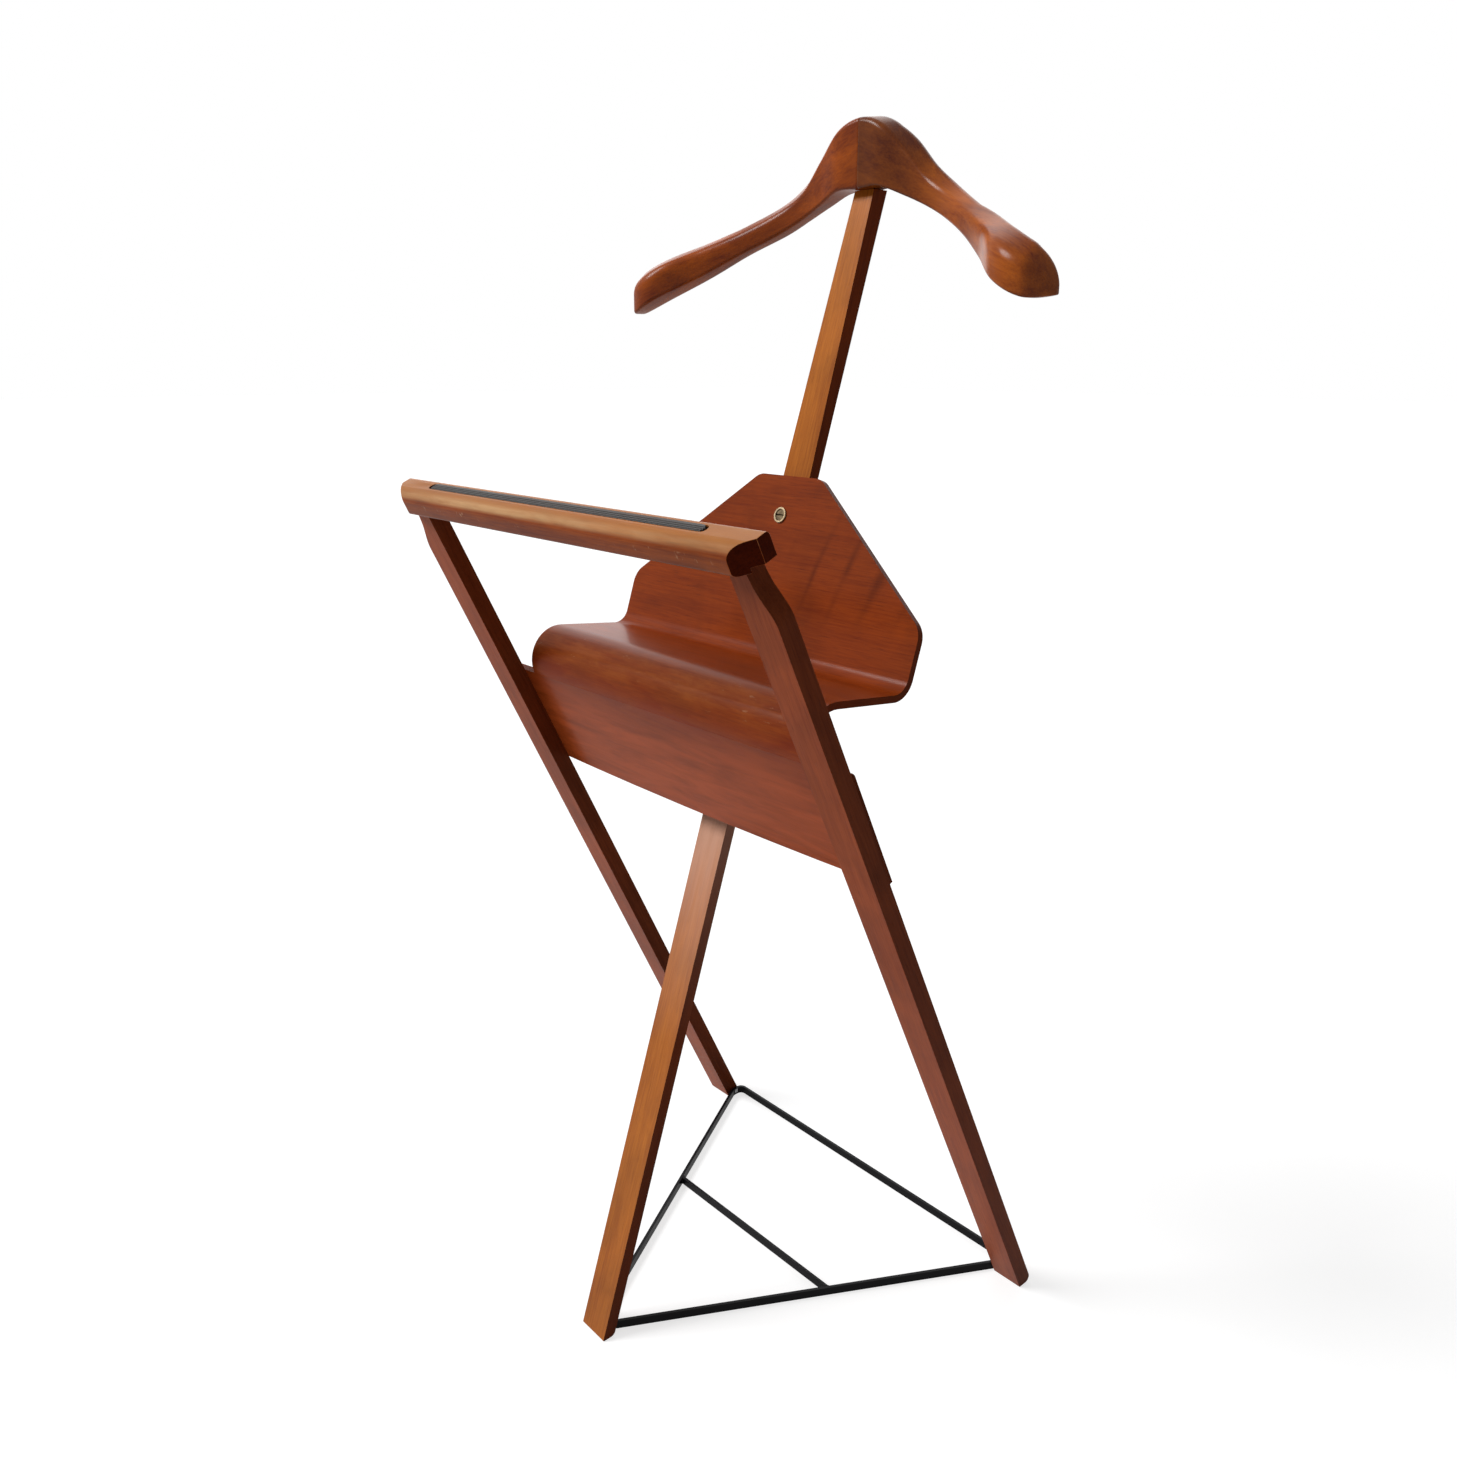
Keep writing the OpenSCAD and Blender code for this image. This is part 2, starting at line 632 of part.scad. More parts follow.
// Hanger: places along a half, from the middle to the tip, as shares of its length, and at each
// place the front and back faces, the underside, the front ridge and the crown, in millimetres
// from the middle of the underside at the post's front face
place_share = [0, 0.1, 0.2, 0.3, 0.4, 0.54, 0.68, 0.82, 0.93, 1];
front_line = [-10.5, -11.5, -7, -5.5, -11, -29, -52, -79.5, -81.5, -65.5];
depth_line = [28, 25.5, 20.5, 17.5, 19, 20, 25.5, 30.5, 23, 14];
under_line = [0, 0, -9, -19.5, -31, -48, -68, -87.5, -99.5, -99.5];
ridge_line = [57.5, 49.5, 27, 2, -12.5, -30.5, -44.5, -60.5, -74, -83];
crown_line = [61, 57.5, 45.5, 22, 3.5, -14, -30.5, -44.5, -54, -58.5];
edge_start = [3, 5, 8, 3];
edge_end = [3, 15, 6, 10];
round_share = 0.68;
tip_round = 18.5;
tip_share = 0.05;
tip_fall = 0.94;
station_step = 7.5;
tip_steps = 7;
half_span = hanger_span / 2;
hump_rise = hanger_h - crown_line[0];
hump_reach = 0.4 * half_span;

// The hump can be made higher, thicker or set further forward on the post; the arms keep their form
function hump_share(x) = pow(max(0, 1 - x / hump_reach), 2) * (1 + 2 * x / hump_reach);
function hanger_section(x) =
    let (
        place = place_share * half_span,
        front = smooth(place, front_line, x) - hanger_front - front_line[0],
        back = front + smooth(place, depth_line, x) + hanger_t - depth_line[0],
        under = smooth(place, under_line, x),
        lift = hump_rise * hump_share(x),
        ridge = smooth(place, ridge_line, x) + lift,
        crown = smooth(place, crown_line, x) + lift,
        share = min(1, x / half_span / round_share),
        radii = edge_start + (edge_end - edge_start) * share,
        end = max(0, (x - half_span + tip_round) / tip_round),
        shrink = sqrt(1 - tip_fall * end * end),
        centre = [(front + back) / 2, under + (crown - under) * tip_share],
        pts = round_poly([[front, under], [front, ridge], [back, crown], [back, under]], radii, 4)
    )
    [for (p = pts) let (q = centre + (p - centre) * shrink) [x, q[0], q[1]]];

module hanger_shell() {
    body_steps = floor((half_span - tip_round) / station_step);
    stations = concat([for (i = [0 : body_steps - 1]) (half_span - tip_round) * i / body_steps],
        [for (i = [0 : tip_steps]) half_span - tip_round + tip_round * sin(90 * i / tip_steps)]);
    rings = [for (x = stations) hanger_section(x)];
    n = len(rings[0]);
    m = len(rings);
    polyhedron(
        points = [for (ring = rings) each ring],
        faces = concat(
            [[for (j = [n - 1 : -1 : 0]) j]],
            [for (i = [0 : m - 2]) for (j = [0 : n - 1])
                let (a = i * n + j, b = i * n + (j + 1) % n) each [[a, b, b + n], [a, b + n, a + n]]],
            [[for (j = [0 : n - 1]) (m - 1) * n + j]]),
        convexity = 6);
}
hanger_y = -post_reach + hanger_z * tan(post_lean);
hanger_dowel_d = 6;
hanger_dowel_len = 34;
hanger_dowel_low = 30;
hanger_dowel_high = 43;

module hanger_space() floor_space() translate([0, hanger_y, hanger_z]) children();
module hanger_dowel(height, grow) {
    translate([0, hanger_t / 2 - hanger_front, height]) rotate([0, 90, 0])
        cylinder(d = hanger_dowel_d + 2 * grow, h = hanger_dowel_len + 2 * grow, center = true);
}
module hanger_half() {
    color(hanger_colour) difference() {
        hanger_space() hanger_shell();
        hanger_space() hanger_dowel(hanger_dowel_low, fit);
        hanger_space() hanger_dowel(hanger_dowel_high, fit);
        post_space() tenon(2 * fit);
    }
}
module hanger_right() hanger_half();
module hanger_left() mirror([1, 0, 0]) hanger_half();
module hanger_dowels() {
    color(dowel_colour) hanger_space() {
        hanger_dowel(hanger_dowel_low, 0);
        hanger_dowel(hanger_dowel_high, 0);
    }
}

leg_left();
leg_right();
trouser_bar();
bar_dowels();
grip_strip();
tray();
tray_screws();
bolt_ring();
spacer_washer();
base_loop();
base_cross_bar();
base_pin();
base_screws();
post();
thread_insert();
foot_clip();
clip_screw();
hanger_left();
hanger_right();
hanger_dowels();
clamp_bolt();
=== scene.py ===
"""A standing clothes valet in stained wood, black flat steel, rubber and bronze, dressed over its solids.

Lengths are in millimetres until they reach Blender, which takes metres.
X runs across the valet, Y from the post's foot to the rear feet, Z up. Colours are linear.
"""
import math

import bmesh
import bpy
from mathutils import Matrix, Vector


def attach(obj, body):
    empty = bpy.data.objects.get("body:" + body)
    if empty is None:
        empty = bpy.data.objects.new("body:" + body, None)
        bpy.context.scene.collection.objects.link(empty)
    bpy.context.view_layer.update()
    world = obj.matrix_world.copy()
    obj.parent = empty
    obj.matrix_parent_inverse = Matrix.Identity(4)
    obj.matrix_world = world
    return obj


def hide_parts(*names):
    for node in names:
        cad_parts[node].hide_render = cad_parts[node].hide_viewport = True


MM = 0.001
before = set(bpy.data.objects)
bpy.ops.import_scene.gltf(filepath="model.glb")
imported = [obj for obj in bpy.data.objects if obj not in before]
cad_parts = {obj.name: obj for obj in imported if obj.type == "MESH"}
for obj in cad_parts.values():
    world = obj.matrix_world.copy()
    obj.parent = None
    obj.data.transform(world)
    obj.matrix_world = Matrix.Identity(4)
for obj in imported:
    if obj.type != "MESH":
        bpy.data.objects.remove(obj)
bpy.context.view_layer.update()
scene = bpy.context.scene

# How the legs and the post lean, in degrees from upright
LEG_LEAN = 25.6
POST_LEAN = 17.8
# Y is measured from the foot of the legs' axis, and this brings it to the frame's own origin
SHIFT_Y = 174.134
# The bar's top, measured up along the legs, and the axis of the bend between shelf and apron
BAR_TOP = 845.5
BEND_Y, BEND_Z = -233.377 + SHIFT_Y, 595.869

# Each wood from its dark streaks to its pale ones
DARK_LEG, PALE_LEG = (0.250, 0.044, 0.012), (0.430, 0.094, 0.028)
DARK_POST, PALE_POST = (0.290, 0.072, 0.008), (0.480, 0.150, 0.018)
# Painted shade: darker copies of the post's wood for its faces turned aside, standing in for the shade on those
# sides
DARK_POST_PAINTED_SHADE_SIDE, PALE_POST_PAINTED_SHADE_SIDE = (0.112, 0.015, 0.0018), (0.190, 0.034, 0.0045)
DARK_TRAY, PALE_TRAY = (0.158, 0.021, 0.0024), (0.258, 0.042, 0.0037)
DARK_BAR, PALE_BAR = (0.150, 0.020, 0.002), (0.380, 0.080, 0.008)
# Painted shade: a near-black copy of the bar's wood for its ends, standing in for the shade on them
DARK_BAR_PAINTED_SHADE_END, PALE_BAR_PAINTED_SHADE_END = (0.038, 0.0035, 0.0005), (0.090, 0.010, 0.0012)
DARK_LEFT, PALE_LEFT = (0.130, 0.016, 0.001), (0.400, 0.080, 0.004)
DARK_RIGHT, PALE_RIGHT = (0.150, 0.020, 0.001), (0.420, 0.100, 0.008)
DARK_DOWEL, PALE_DOWEL = (0.42, 0.28, 0.15), (0.66, 0.50, 0.31)

# Wear on the wood, and painted light: a sheen on the lower apron, the bar's lit top, and highlights on the
# tray's bend, the bar's rounding and the post
APRON_PAINTED_SHEEN, BAR_TOP_PAINTED_LIGHT, RUBBED_AND_PAINTED_HIGHLIGHT = (0.54, 0.096, 0.020), (0.42, 0.165, 0.040), (0.42, 0.105, 0.018)
SCUFFED, BLOTCHED, BARE = (0.72, 0.42, 0.24), (0.160, 0.014, 0.002), (0.52, 0.33, 0.19)
POST_PAINTED_HIGHLIGHT, BAR_PAINTED_HIGHLIGHT = (0.63, 0.36, 0.26), (0.64, 0.39, 0.19)

# Paint, metal, rubber and felt, each with what lies on it or under it
PAINT, PAINT_DUST, PAINT_NICK = (0.003, 0.0027, 0.0036), (0.012, 0.011, 0.013), (0.10, 0.085, 0.07)
BRONZE, BRONZE_DIRT = (0.34, 0.26, 0.16), (0.085, 0.058, 0.036)
BOLT, BOLT_DIRT = (0.13, 0.095, 0.055), (0.04, 0.028, 0.018)
STEEL, STEEL_DIRT = (0.50, 0.50, 0.51), (0.22, 0.21, 0.20)
RUBBER, RUBBER_BLOOM = (0.014, 0.012, 0.011), (0.052, 0.040, 0.036)
FELT_DARK, FELT_PALE = (0.030, 0.020, 0.014), (0.13, 0.09, 0.065)


# Node trees and materials

class Nodes:
    """A node tree built by adding nodes, whose sockets take values or other nodes' outputs."""

    def __init__(self, tree):
        self.tree = tree
        tree.nodes.clear()

    def add(self, kind, settings=None, **sockets):
        """A new node. A socket goes by its name, with _ for a space, or by i and its number."""
        node = self.tree.nodes.new(kind)
        for key, value in (settings or {}).items():
            setattr(node, key, value)
        for key, value in sockets.items():
            numbered = key[0] == "i" and key[1:].isdigit()
            socket = node.inputs[int(key[1:])] if numbered else node.inputs[key.replace("_", " ")]
            if isinstance(value, bpy.types.NodeSocket):
                self.tree.links.new(value, socket)
            else:
                socket.default_value = value
        return node

    def math(self, how, a, b=0.0, c=0.0):
        return self.add("ShaderNodeMath", {"operation": how}, i0=a, i1=b, i2=c).outputs[0]

    def product(self, value, *factors):
        for factor in factors:
            value = self.math("MULTIPLY", value, factor)
        return value

    def background_seen(self):
        """1 for the rays that show the background itself, 0 for those that light the object."""
        path = self.add("ShaderNodeLightPath").outputs
        direct = self.math("MAXIMUM", path["Is Camera Ray"], path["Is Glossy Ray"])
        return self.math("MAXIMUM", direct, path["Is Transmission Ray"])


class Finish(Nodes):
    """A material on the object's own coordinates."""

    def __init__(self, name):
        self.material = bpy.data.materials.new(name)
        self.material.use_nodes = True
        super().__init__(self.material.node_tree)
        self.here = self.add("ShaderNodeTexCoord").outputs["Object"]

    def turned(self, turn, move=(0, 0, 0)):
        return self.add("ShaderNodeMapping", None, Vector=self.here, Location=move,
                        Rotation=[math.radians(a) for a in turn]).outputs[0]

    def stretched(self, stretch, where=None):
        return self.add("ShaderNodeMapping", None, Vector=where or self.here, Scale=stretch).outputs[0]

    def along(self, axis):
        return self.add("ShaderNodeSeparateXYZ", None, Vector=self.here).outputs[axis]

    def noise(self, where, scale, detail=3.0, rough=0.55, warp=0.0):
        return self.add("ShaderNodeTexNoise", None, Vector=where, Scale=scale, Detail=detail, Roughness=rough,
                        Distortion=warp).outputs[0]

    def ramp(self, value, *stops):
        """Each stop is a place on the ramp and the grey or colour there."""
        node = self.add("ShaderNodeValToRGB", None, Fac=value)
        steps = node.color_ramp.elements
        while len(steps) < len(stops):
            steps.new(0.5)
        for step, (place, colour) in zip(steps, stops):
            step.position = place
            step.color = (*colour, 1.0) if isinstance(colour, tuple) else (colour, colour, colour, 1.0)
        return node.outputs[0]

    def rise(self, value, low, high):
        return self.ramp(value, (low, 0.0), (high, 1.0))

    def mix(self, share, a, b, how="MIX"):
        a, b = ((*colour, 1.0) if isinstance(colour, tuple) else colour for colour in (a, b))
        settings = {"data_type": "RGBA", "blend_type": how}
        return self.add("ShaderNodeMix", settings, i0=share, i6=a, i7=b).outputs[2]

    def bump(self, height, strength, depth):
        return self.add("ShaderNodeBump", None, Strength=strength, Distance=depth, Height=height).outputs[0]

    def shader(self, colour, rough, bump, **sockets):
        surface = self.add("ShaderNodeBsdfPrincipled", None, Base_Color=colour, Roughness=rough, Normal=bump,
                           **sockets)
        self.add("ShaderNodeOutputMaterial", None, Surface=surface.outputs[0])
        return self.material


def share_of(colour, share):
    return tuple(share * v for v in colour)


def wood(name, dark, pale, turn=(0, 0, 0), move=(0, 0, 0), figure=0.5, worn=0.0, gloss=0.40, shine=0.05,
         lacquer=0.02, haze=0.16, pore=0.42, added_marks_and_painted_light=None):
    """Stained and lacquered wood, its grain along the X of the turned object coordinates."""
    f = Finish(name)
    flat = f.turned(turn, move)
    fibre_place = f.stretched((1.0, 26.0, 26.0), flat)
    streaks = f.noise(f.stretched((1.0, 11.0, 11.0), flat), 7.0, 5.0, 0.58, 0.35)
    fibres = f.noise(fibre_place, 26.0, 4.0, 0.62)
    pores = f.rise(f.noise(fibre_place, 62.0, 2.0, 0.5), 0.60, 0.70)
    cloud = f.noise(flat, 10.0, 3.0, 0.55, 0.6)
    grain = f.math("ADD", f.product(streaks, 0.35 + 0.4 * figure), f.product(fibres, 0.65 - 0.4 * figure))
    middle = tuple(0.52 * a + 0.48 * b for a, b in zip(dark, pale))
    colour = f.ramp(grain, (0.34, dark), (0.50, middle), (0.68, pale))
    colour = f.mix(0.85, colour, f.ramp(cloud, (0.30, 0.74), (0.52, 1.0), (0.75, 1.14)), "MULTIPLY")
    colour = f.mix(f.product(pores, pore), colour, share_of(dark, 0.35))
    # The added marks are wear and tone, and on the bar, the tray and the post also painted light
    if added_marks_and_painted_light:
        colour = added_marks_and_painted_light(f, colour)
    rough = f.math("ADD", gloss - 0.07, f.product(fibres, 0.16))
    if worn:
        chips = f.rise(f.noise(f.here, 55.0, 5.0, 0.7), 0.64 - 0.08 * worn, 0.69 - 0.06 * worn)
        # Edges paler, partly worn and partly a painted highlight along the arris; the chips are bare wood
        rubbed_and_highlit = f.mix(0.30 * worn, colour, tuple(min(1.0, 1.5 * v + 0.02) for v in pale))
        colour = f.mix(f.product(chips, 0.85), rubbed_and_highlit, BARE)
        rough = f.math("ADD", rough, f.product(chips, 0.25))
    height = f.math("ADD", f.product(fibres, 0.6), f.product(pores, -0.5))
    return f.shader(colour, rough, f.bump(height, 0.22, 0.0002), Specular_IOR_Level=shine,
                    Coat_Weight=lacquer, Coat_Roughness=haze, Coat_IOR=1.45)


def panel_lines(f, colour):
    """A few dark, curved lines of the veneer's figure on the panel's upper right."""
    leaning = f.turned((0, -19, 0))
    waves = f.add("ShaderNodeTexWave", {"bands_direction": "X"}, Scale=9.0, Distortion=4.0, Detail=2.0,
                  Detail_Scale=1.5, Vector=f.stretched((1.0, 0.25, 0.25), leaning)).outputs["Fac"]
    lines = f.ramp(waves, (0.0, 1.0), (0.05, 0.5), (0.22, 0.0))
    right = f.rise(f.product(f.along("X"), 10.0), 0.15, 0.55)
    high = f.ramp(f.math("MULTIPLY_ADD", f.along("Z"), 10.0, -6.4), (0.10, 0.0), (0.60, 1.0), (0.95, 0.4))
    patches = f.ramp(f.noise(leaning, 14.0, 2.0, 0.5, 0.4), (0.40, 0.1), (0.56, 1.0))
    return f.mix(f.product(lines, right, high, patches, 0.6), colour, share_of(DARK_TRAY, 0.4))


def tray_painted_light_and_marks(f, colour):
    """The panel's figure, a streak along the outside of the bend between shelf and apron that is partly scuffed
    and worn by rubbing and partly a painted highlight, dark red blotches below it, and a painted sheen on the
    lower apron standing in for reflected light."""
    colour = panel_lines(f, colour)
    ahead = f.math("SUBTRACT", (BEND_Y - 6.0) * MM, f.along("Y"))
    above = f.math("SUBTRACT", f.along("Z"), (BEND_Z + 1.0) * MM)
    band = f.rise(f.product(f.math("MINIMUM", ahead, above), 50.0), 0.0, 0.55)
    rubs_and_highlight = f.ramp(f.noise(f.stretched((1, 5, 5)), 18.0, 5.0, 0.65, 0.3), (0.38, 0.15), (0.66, 1.0))
    scuffs = f.rise(f.noise(f.stretched((1, 3, 3)), 60.0, 4.0, 0.7, 0.4), 0.66, 0.72)
    # The streak on the bend: partly worn, partly a painted highlight where the bend turns to the light
    colour = f.mix(f.product(band, rubs_and_highlight, 0.5), colour, RUBBED_AND_PAINTED_HIGHLIGHT)
    colour = f.mix(f.product(band, scuffs, 0.22), colour, SCUFFED)
    down = f.math("MULTIPLY_ADD", f.along("Z"), -10.0, 6.1)
    upper = f.ramp(down, (0.0, 0.0), (0.12, 1.0), (0.30, 1.0), (0.50, 0.0))
    blotches = f.rise(f.noise(f.stretched((1, 2, 4)), 11.0, 4.0, 0.6, 0.8), 0.44, 0.58)
    colour = f.mix(f.product(upper, blotches, 0.6), colour, BLOTCHED)
    # Painted sheen: the lower apron is painted paler, standing in for reflected light on its lacquer
    lower = f.rise(down, 0.10, 0.60)
    bloom = f.ramp(f.noise(f.stretched((1, 6, 6)), 12.0, 4.0, 0.6, 0.5), (0.34, 0.35), (0.62, 1.0))
    return f.mix(f.product(lower, bloom, 0.7), colour, APRON_PAINTED_SHEEN)


def bar_painted_light_and_scratches(f, colour):
    """The bar's top painted a paler golden brown where the light falls on it, a painted highlight along its
    rounding, and fine scratches in front.
    """
    lean = math.radians(LEG_LEAN)
    along_legs = (0, -math.sin(lean), math.cos(lean))
    up = f.add("ShaderNodeVectorMath", {"operation": "DOT_PRODUCT"}, i0=f.here, i1=along_legs).outputs["Value"]
    # In centimetres, 0 at the bar's top
    above = f.math("MULTIPLY_ADD", up, 100.0, 0.1 * (SHIFT_Y * math.sin(lean) - BAR_TOP))
    near_top = f.math("ADD", above, 0.9)
    # Painted light: the top, which faces the light, is painted paler and golden
    top = f.rise(near_top, 0.35, 0.88)
    patches = f.ramp(f.noise(f.stretched((1, 4, 4)), 9.0, 3.0, 0.6, 0.4), (0.30, 0.7), (0.60, 1.0))
    colour = f.mix(f.product(top, patches, 0.8), colour, BAR_TOP_PAINTED_LIGHT)
    # Painted highlight: a pale band along the rounding, strongest left of the middle and weaker to the right,
    # standing in for the reflection of the light
    rounding = f.ramp(near_top, (0.20, 0.0), (0.45, 1.0), (0.70, 1.0), (0.90, 0.0))
    across = f.math("MULTIPLY_ADD", f.along("X"), 2.0, 0.5)
    share = f.ramp(across, (0.05, 0.4), (0.25, 0.9), (0.45, 0.8), (0.90, 0.3))
    streaks = f.ramp(f.noise(f.stretched((1, 9, 9)), 22.0, 4.0, 0.6, 0.3), (0.32, 0.55), (0.62, 1.0))
    colour = f.mix(f.product(rounding, share, streaks, 0.85), colour, BAR_PAINTED_HIGHLIGHT)
    front = f.ramp(f.math("ADD", above, 1.9), (0.2, 0.0), (0.7, 1.0), (0.9, 1.0), (1.0, 0.0))
    scratches = f.rise(f.noise(f.stretched((1.6, 1, 1)), 85.0, 4.0, 0.7, 0.7), 0.62, 0.70)
    return f.mix(f.product(front, scratches, 0.45), colour, SCUFFED)


def post_painted_highlight(most):
    """A painted highlight on the post's lacquer below the tray, standing in for the sheen of the light on it,
    with the given share where it is strongest.
    """
    def paint_post_highlight(f, colour):
        band = f.ramp(f.along("Z"), (0.05, 0.04), (0.27, 0.05), (0.34, 0.25), (0.40, 0.50), (0.46, 0.80),
                      (0.50, 0.80), (0.62, 0.0))
        streaks = f.ramp(f.noise(f.stretched((6, 1, 0.5)), 26.0, 4.0, 0.6, 0.3), (0.30, 0.75), (0.62, 1.0))
        return f.mix(f.product(band, streaks, most), colour, POST_PAINTED_HIGHLIGHT)
    return paint_post_highlight


def dark_at_seam(f, colour):
    """The right half of the hanger, darker beside the seam than along the arm."""
    shade = f.ramp(f.product(f.along("X"), 5.0), (0.0, 0.42), (0.25, 0.50), (0.55, 1.0))
    return f.mix(1.0, colour, shade, "MULTIPLY")


def steel_paint():
    """Gloss black paint over rolled steel, with dust and a few nicks."""
    f = Finish("black_paint")
    dust = f.rise(f.noise(f.here, 40.0, 5.0, 0.65), 0.45, 0.80)
    nicks = f.rise(f.noise(f.here, 160.0, 3.0, 0.6), 0.74, 0.78)
    ripple = f.noise(f.stretched((3, 3, 3)), 90.0, 3.0, 0.5)
    colour = f.mix(f.product(dust, 0.35), PAINT, PAINT_DUST)
    colour = f.mix(f.product(nicks, 0.5), colour, PAINT_NICK)
    rough = f.math("ADD", 0.30, f.product(dust, 0.25))
    return f.shader(colour, rough, f.bump(ripple, 0.12, 0.0003), Specular_IOR_Level=0.07)


def bare_metal(name, pale, dirt, rough, dull=0.5):
    """Metal with fine scratches and patches of dirt."""
    f = Finish(name)
    tarnish = f.rise(f.noise(f.here, 260.0, 5.0, 0.65), 0.38, 0.72)
    colour = f.mix(f.product(tarnish, dull), pale, dirt)
    worn = f.math("ADD", rough, f.product(tarnish, 0.22))
    return f.shader(colour, worn, f.bump(f.noise(f.here, 900.0, 3.0, 0.6), 0.25, 0.00005), Metallic=1.0)


def rubber():
    """Black rubber with a dusty bloom and a fine grain."""
    f = Finish("strip_rubber")
    bloom = f.rise(f.noise(f.stretched((1, 9, 9)), 16.0, 5.0, 0.62), 0.35, 0.75)
    grain = f.noise(f.here, 1400.0, 3.0, 0.6)
    rough = f.math("ADD", 0.50, f.product(bloom, 0.2))
    return f.shader(f.mix(bloom, RUBBER, RUBBER_BLOOM), rough, f.bump(grain, 0.35, 0.0001),
                    Specular_IOR_Level=0.4)


def felt():
    """Dense brown felt."""
    f = Finish("washer_felt")
    hairs = f.noise(f.here, 900.0, 5.0, 0.75, 1.2)
    colour = f.ramp(hairs, (0.3, FELT_DARK), (0.7, FELT_PALE))
    return f.shader(colour, 0.95, f.bump(hairs, 0.8, 0.0004), Sheen_Weight=0.4, Sheen_Roughness=0.5)


# Turns that bring the grain to lie along X: up the legs, up the post and down along the hanger's arms
LEG_GRAIN, POST_GRAIN = (-LEG_LEAN, 90, 0), (POST_LEAN, 90, 0)
LEFT_GRAIN, RIGHT_GRAIN = (0, 21, -16), (0, -21, 16)

LEG_LOOK = {"turn": LEG_GRAIN, "figure": 0.35}
POST_LOOK = {"turn": POST_GRAIN, "figure": 0.3}
BAR_LOOK = {"figure": 0.55, "gloss": 0.36, "shine": 0.02, "lacquer": 0.18, "added_marks_and_painted_light": bar_painted_light_and_scratches}
HANGER_LOOK = {"shine": 0.02, "lacquer": 0.30, "haze": 0.24, "pore": 0.15}

FINISHES = {
    "leg": wood("leg_wood", DARK_LEG, PALE_LEG, **LEG_LOOK),
    "leg_edge": wood("leg_edge_wood", DARK_LEG, PALE_LEG, worn=1.0, **LEG_LOOK),
    # Painted shade: the legs' and the post's faces turned aside take a darker copy of their wood
    "leg_painted_shade_side": wood("leg_side_wood", share_of(DARK_LEG, 0.5), share_of(PALE_LEG, 0.5), shine=0.02,
                     **LEG_LOOK),
    "bar": wood("bar_wood", DARK_BAR, PALE_BAR, **BAR_LOOK),
    "bar_edge": wood("bar_edge_wood", DARK_BAR, PALE_BAR, worn=0.8, **BAR_LOOK),
    # Painted shade: the bar's ends, near black
    "bar_painted_shade_end": wood("bar_end_wood", DARK_BAR_PAINTED_SHADE_END, PALE_BAR_PAINTED_SHADE_END, figure=0.2, shine=0.01, lacquer=0.01),
    "post": wood("post_wood", DARK_POST, PALE_POST, shine=0.03, lacquer=0.15, added_marks_and_painted_light=post_painted_highlight(1.0), **POST_LOOK),
    "post_edge": wood("post_edge_wood", DARK_POST, PALE_POST, worn=0.5, added_marks_and_painted_light=post_painted_highlight(0.8), **POST_LOOK),
    "post_painted_shade_side": wood("post_side_wood", DARK_POST_PAINTED_SHADE_SIDE, PALE_POST_PAINTED_SHADE_SIDE, shine=0.02, added_marks_and_painted_light=post_painted_highlight(0.5),
                      **POST_LOOK),
    "tray": wood("tray_veneer", DARK_TRAY, PALE_TRAY, figure=0.2, shine=0.03, lacquer=0.14, haze=0.18,
                 added_marks_and_painted_light=tray_painted_light_and_marks),
    "tray_edge": wood("tray_edge_wood", share_of(DARK_TRAY, 0.6), share_of(PALE_TRAY, 0.6), worn=0.2,
                      shine=0.02, lacquer=0.01),
    "hanger_left": wood("hanger_left_wood", DARK_LEFT, PALE_LEFT, LEFT_GRAIN, (0.13, 0.02, 0.4), 0.9,
                        **HANGER_LOOK),
    "hanger_right": wood("hanger_right_wood", DARK_RIGHT, PALE_RIGHT, RIGHT_GRAIN, (0.71, 0.35, 0.1), 0.8,
                         added_marks_and_painted_light=dark_at_seam, **HANGER_LOOK),
    "dowel": wood("dowel_wood", DARK_DOWEL, PALE_DOWEL, figure=0.3, gloss=0.6),
    "steel_paint": steel_paint(),
    "bronze": bare_metal("bolt_bronze", BRONZE, BRONZE_DIRT, 0.42, dull=0.6),
    "bolt": bare_metal("bolt_head_bronze", BOLT, BOLT_DIRT, 0.5, dull=0.7),
    "steel": bare_metal("screw_steel", STEEL, STEEL_DIRT, 0.34),
    "rubber": rubber(),
    "felt": felt(),
}


# Pieces made from the solids' own shapes, with softened edges

MERGE = 0.00002
FLAT_WITHIN = math.radians(0.6)


def show(name, mesh, body, node):
    piece = bpy.data.objects.new(name, mesh)
    scene.collection.objects.link(piece)
    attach(piece, body)
    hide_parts(node)


def finished(piece):
    """The piece's mesh with its modifiers worked in."""
    bpy.context.view_layer.update()
    depsgraph = bpy.context.evaluated_depsgraph_get()
    mesh = bpy.data.meshes.new_from_object(piece.evaluated_get(depsgraph), preserve_all_data_layers=True,
                                           depsgraph=depsgraph)
    bpy.data.objects.remove(piece)
    return mesh


def soften(mesh, width, steps, angle, edge_slot=0):
    """Rounds the mesh's sharp edges. The rounded strips take the material of edge_slot."""
    piece = bpy.data.objects.new("rounding", mesh)
    scene.collection.objects.link(piece)
    rounding = piece.modifiers.new("rounding", "BEVEL")
    rounding.width = width * MM
    rounding.segments = steps
    rounding.limit_method = "ANGLE"
    rounding.angle_limit = math.radians(angle)
    rounding.harden_normals = True
    rounding.material = edge_slot
    rounding.miter_outer = "MITER_ARC"
    return finished(piece)


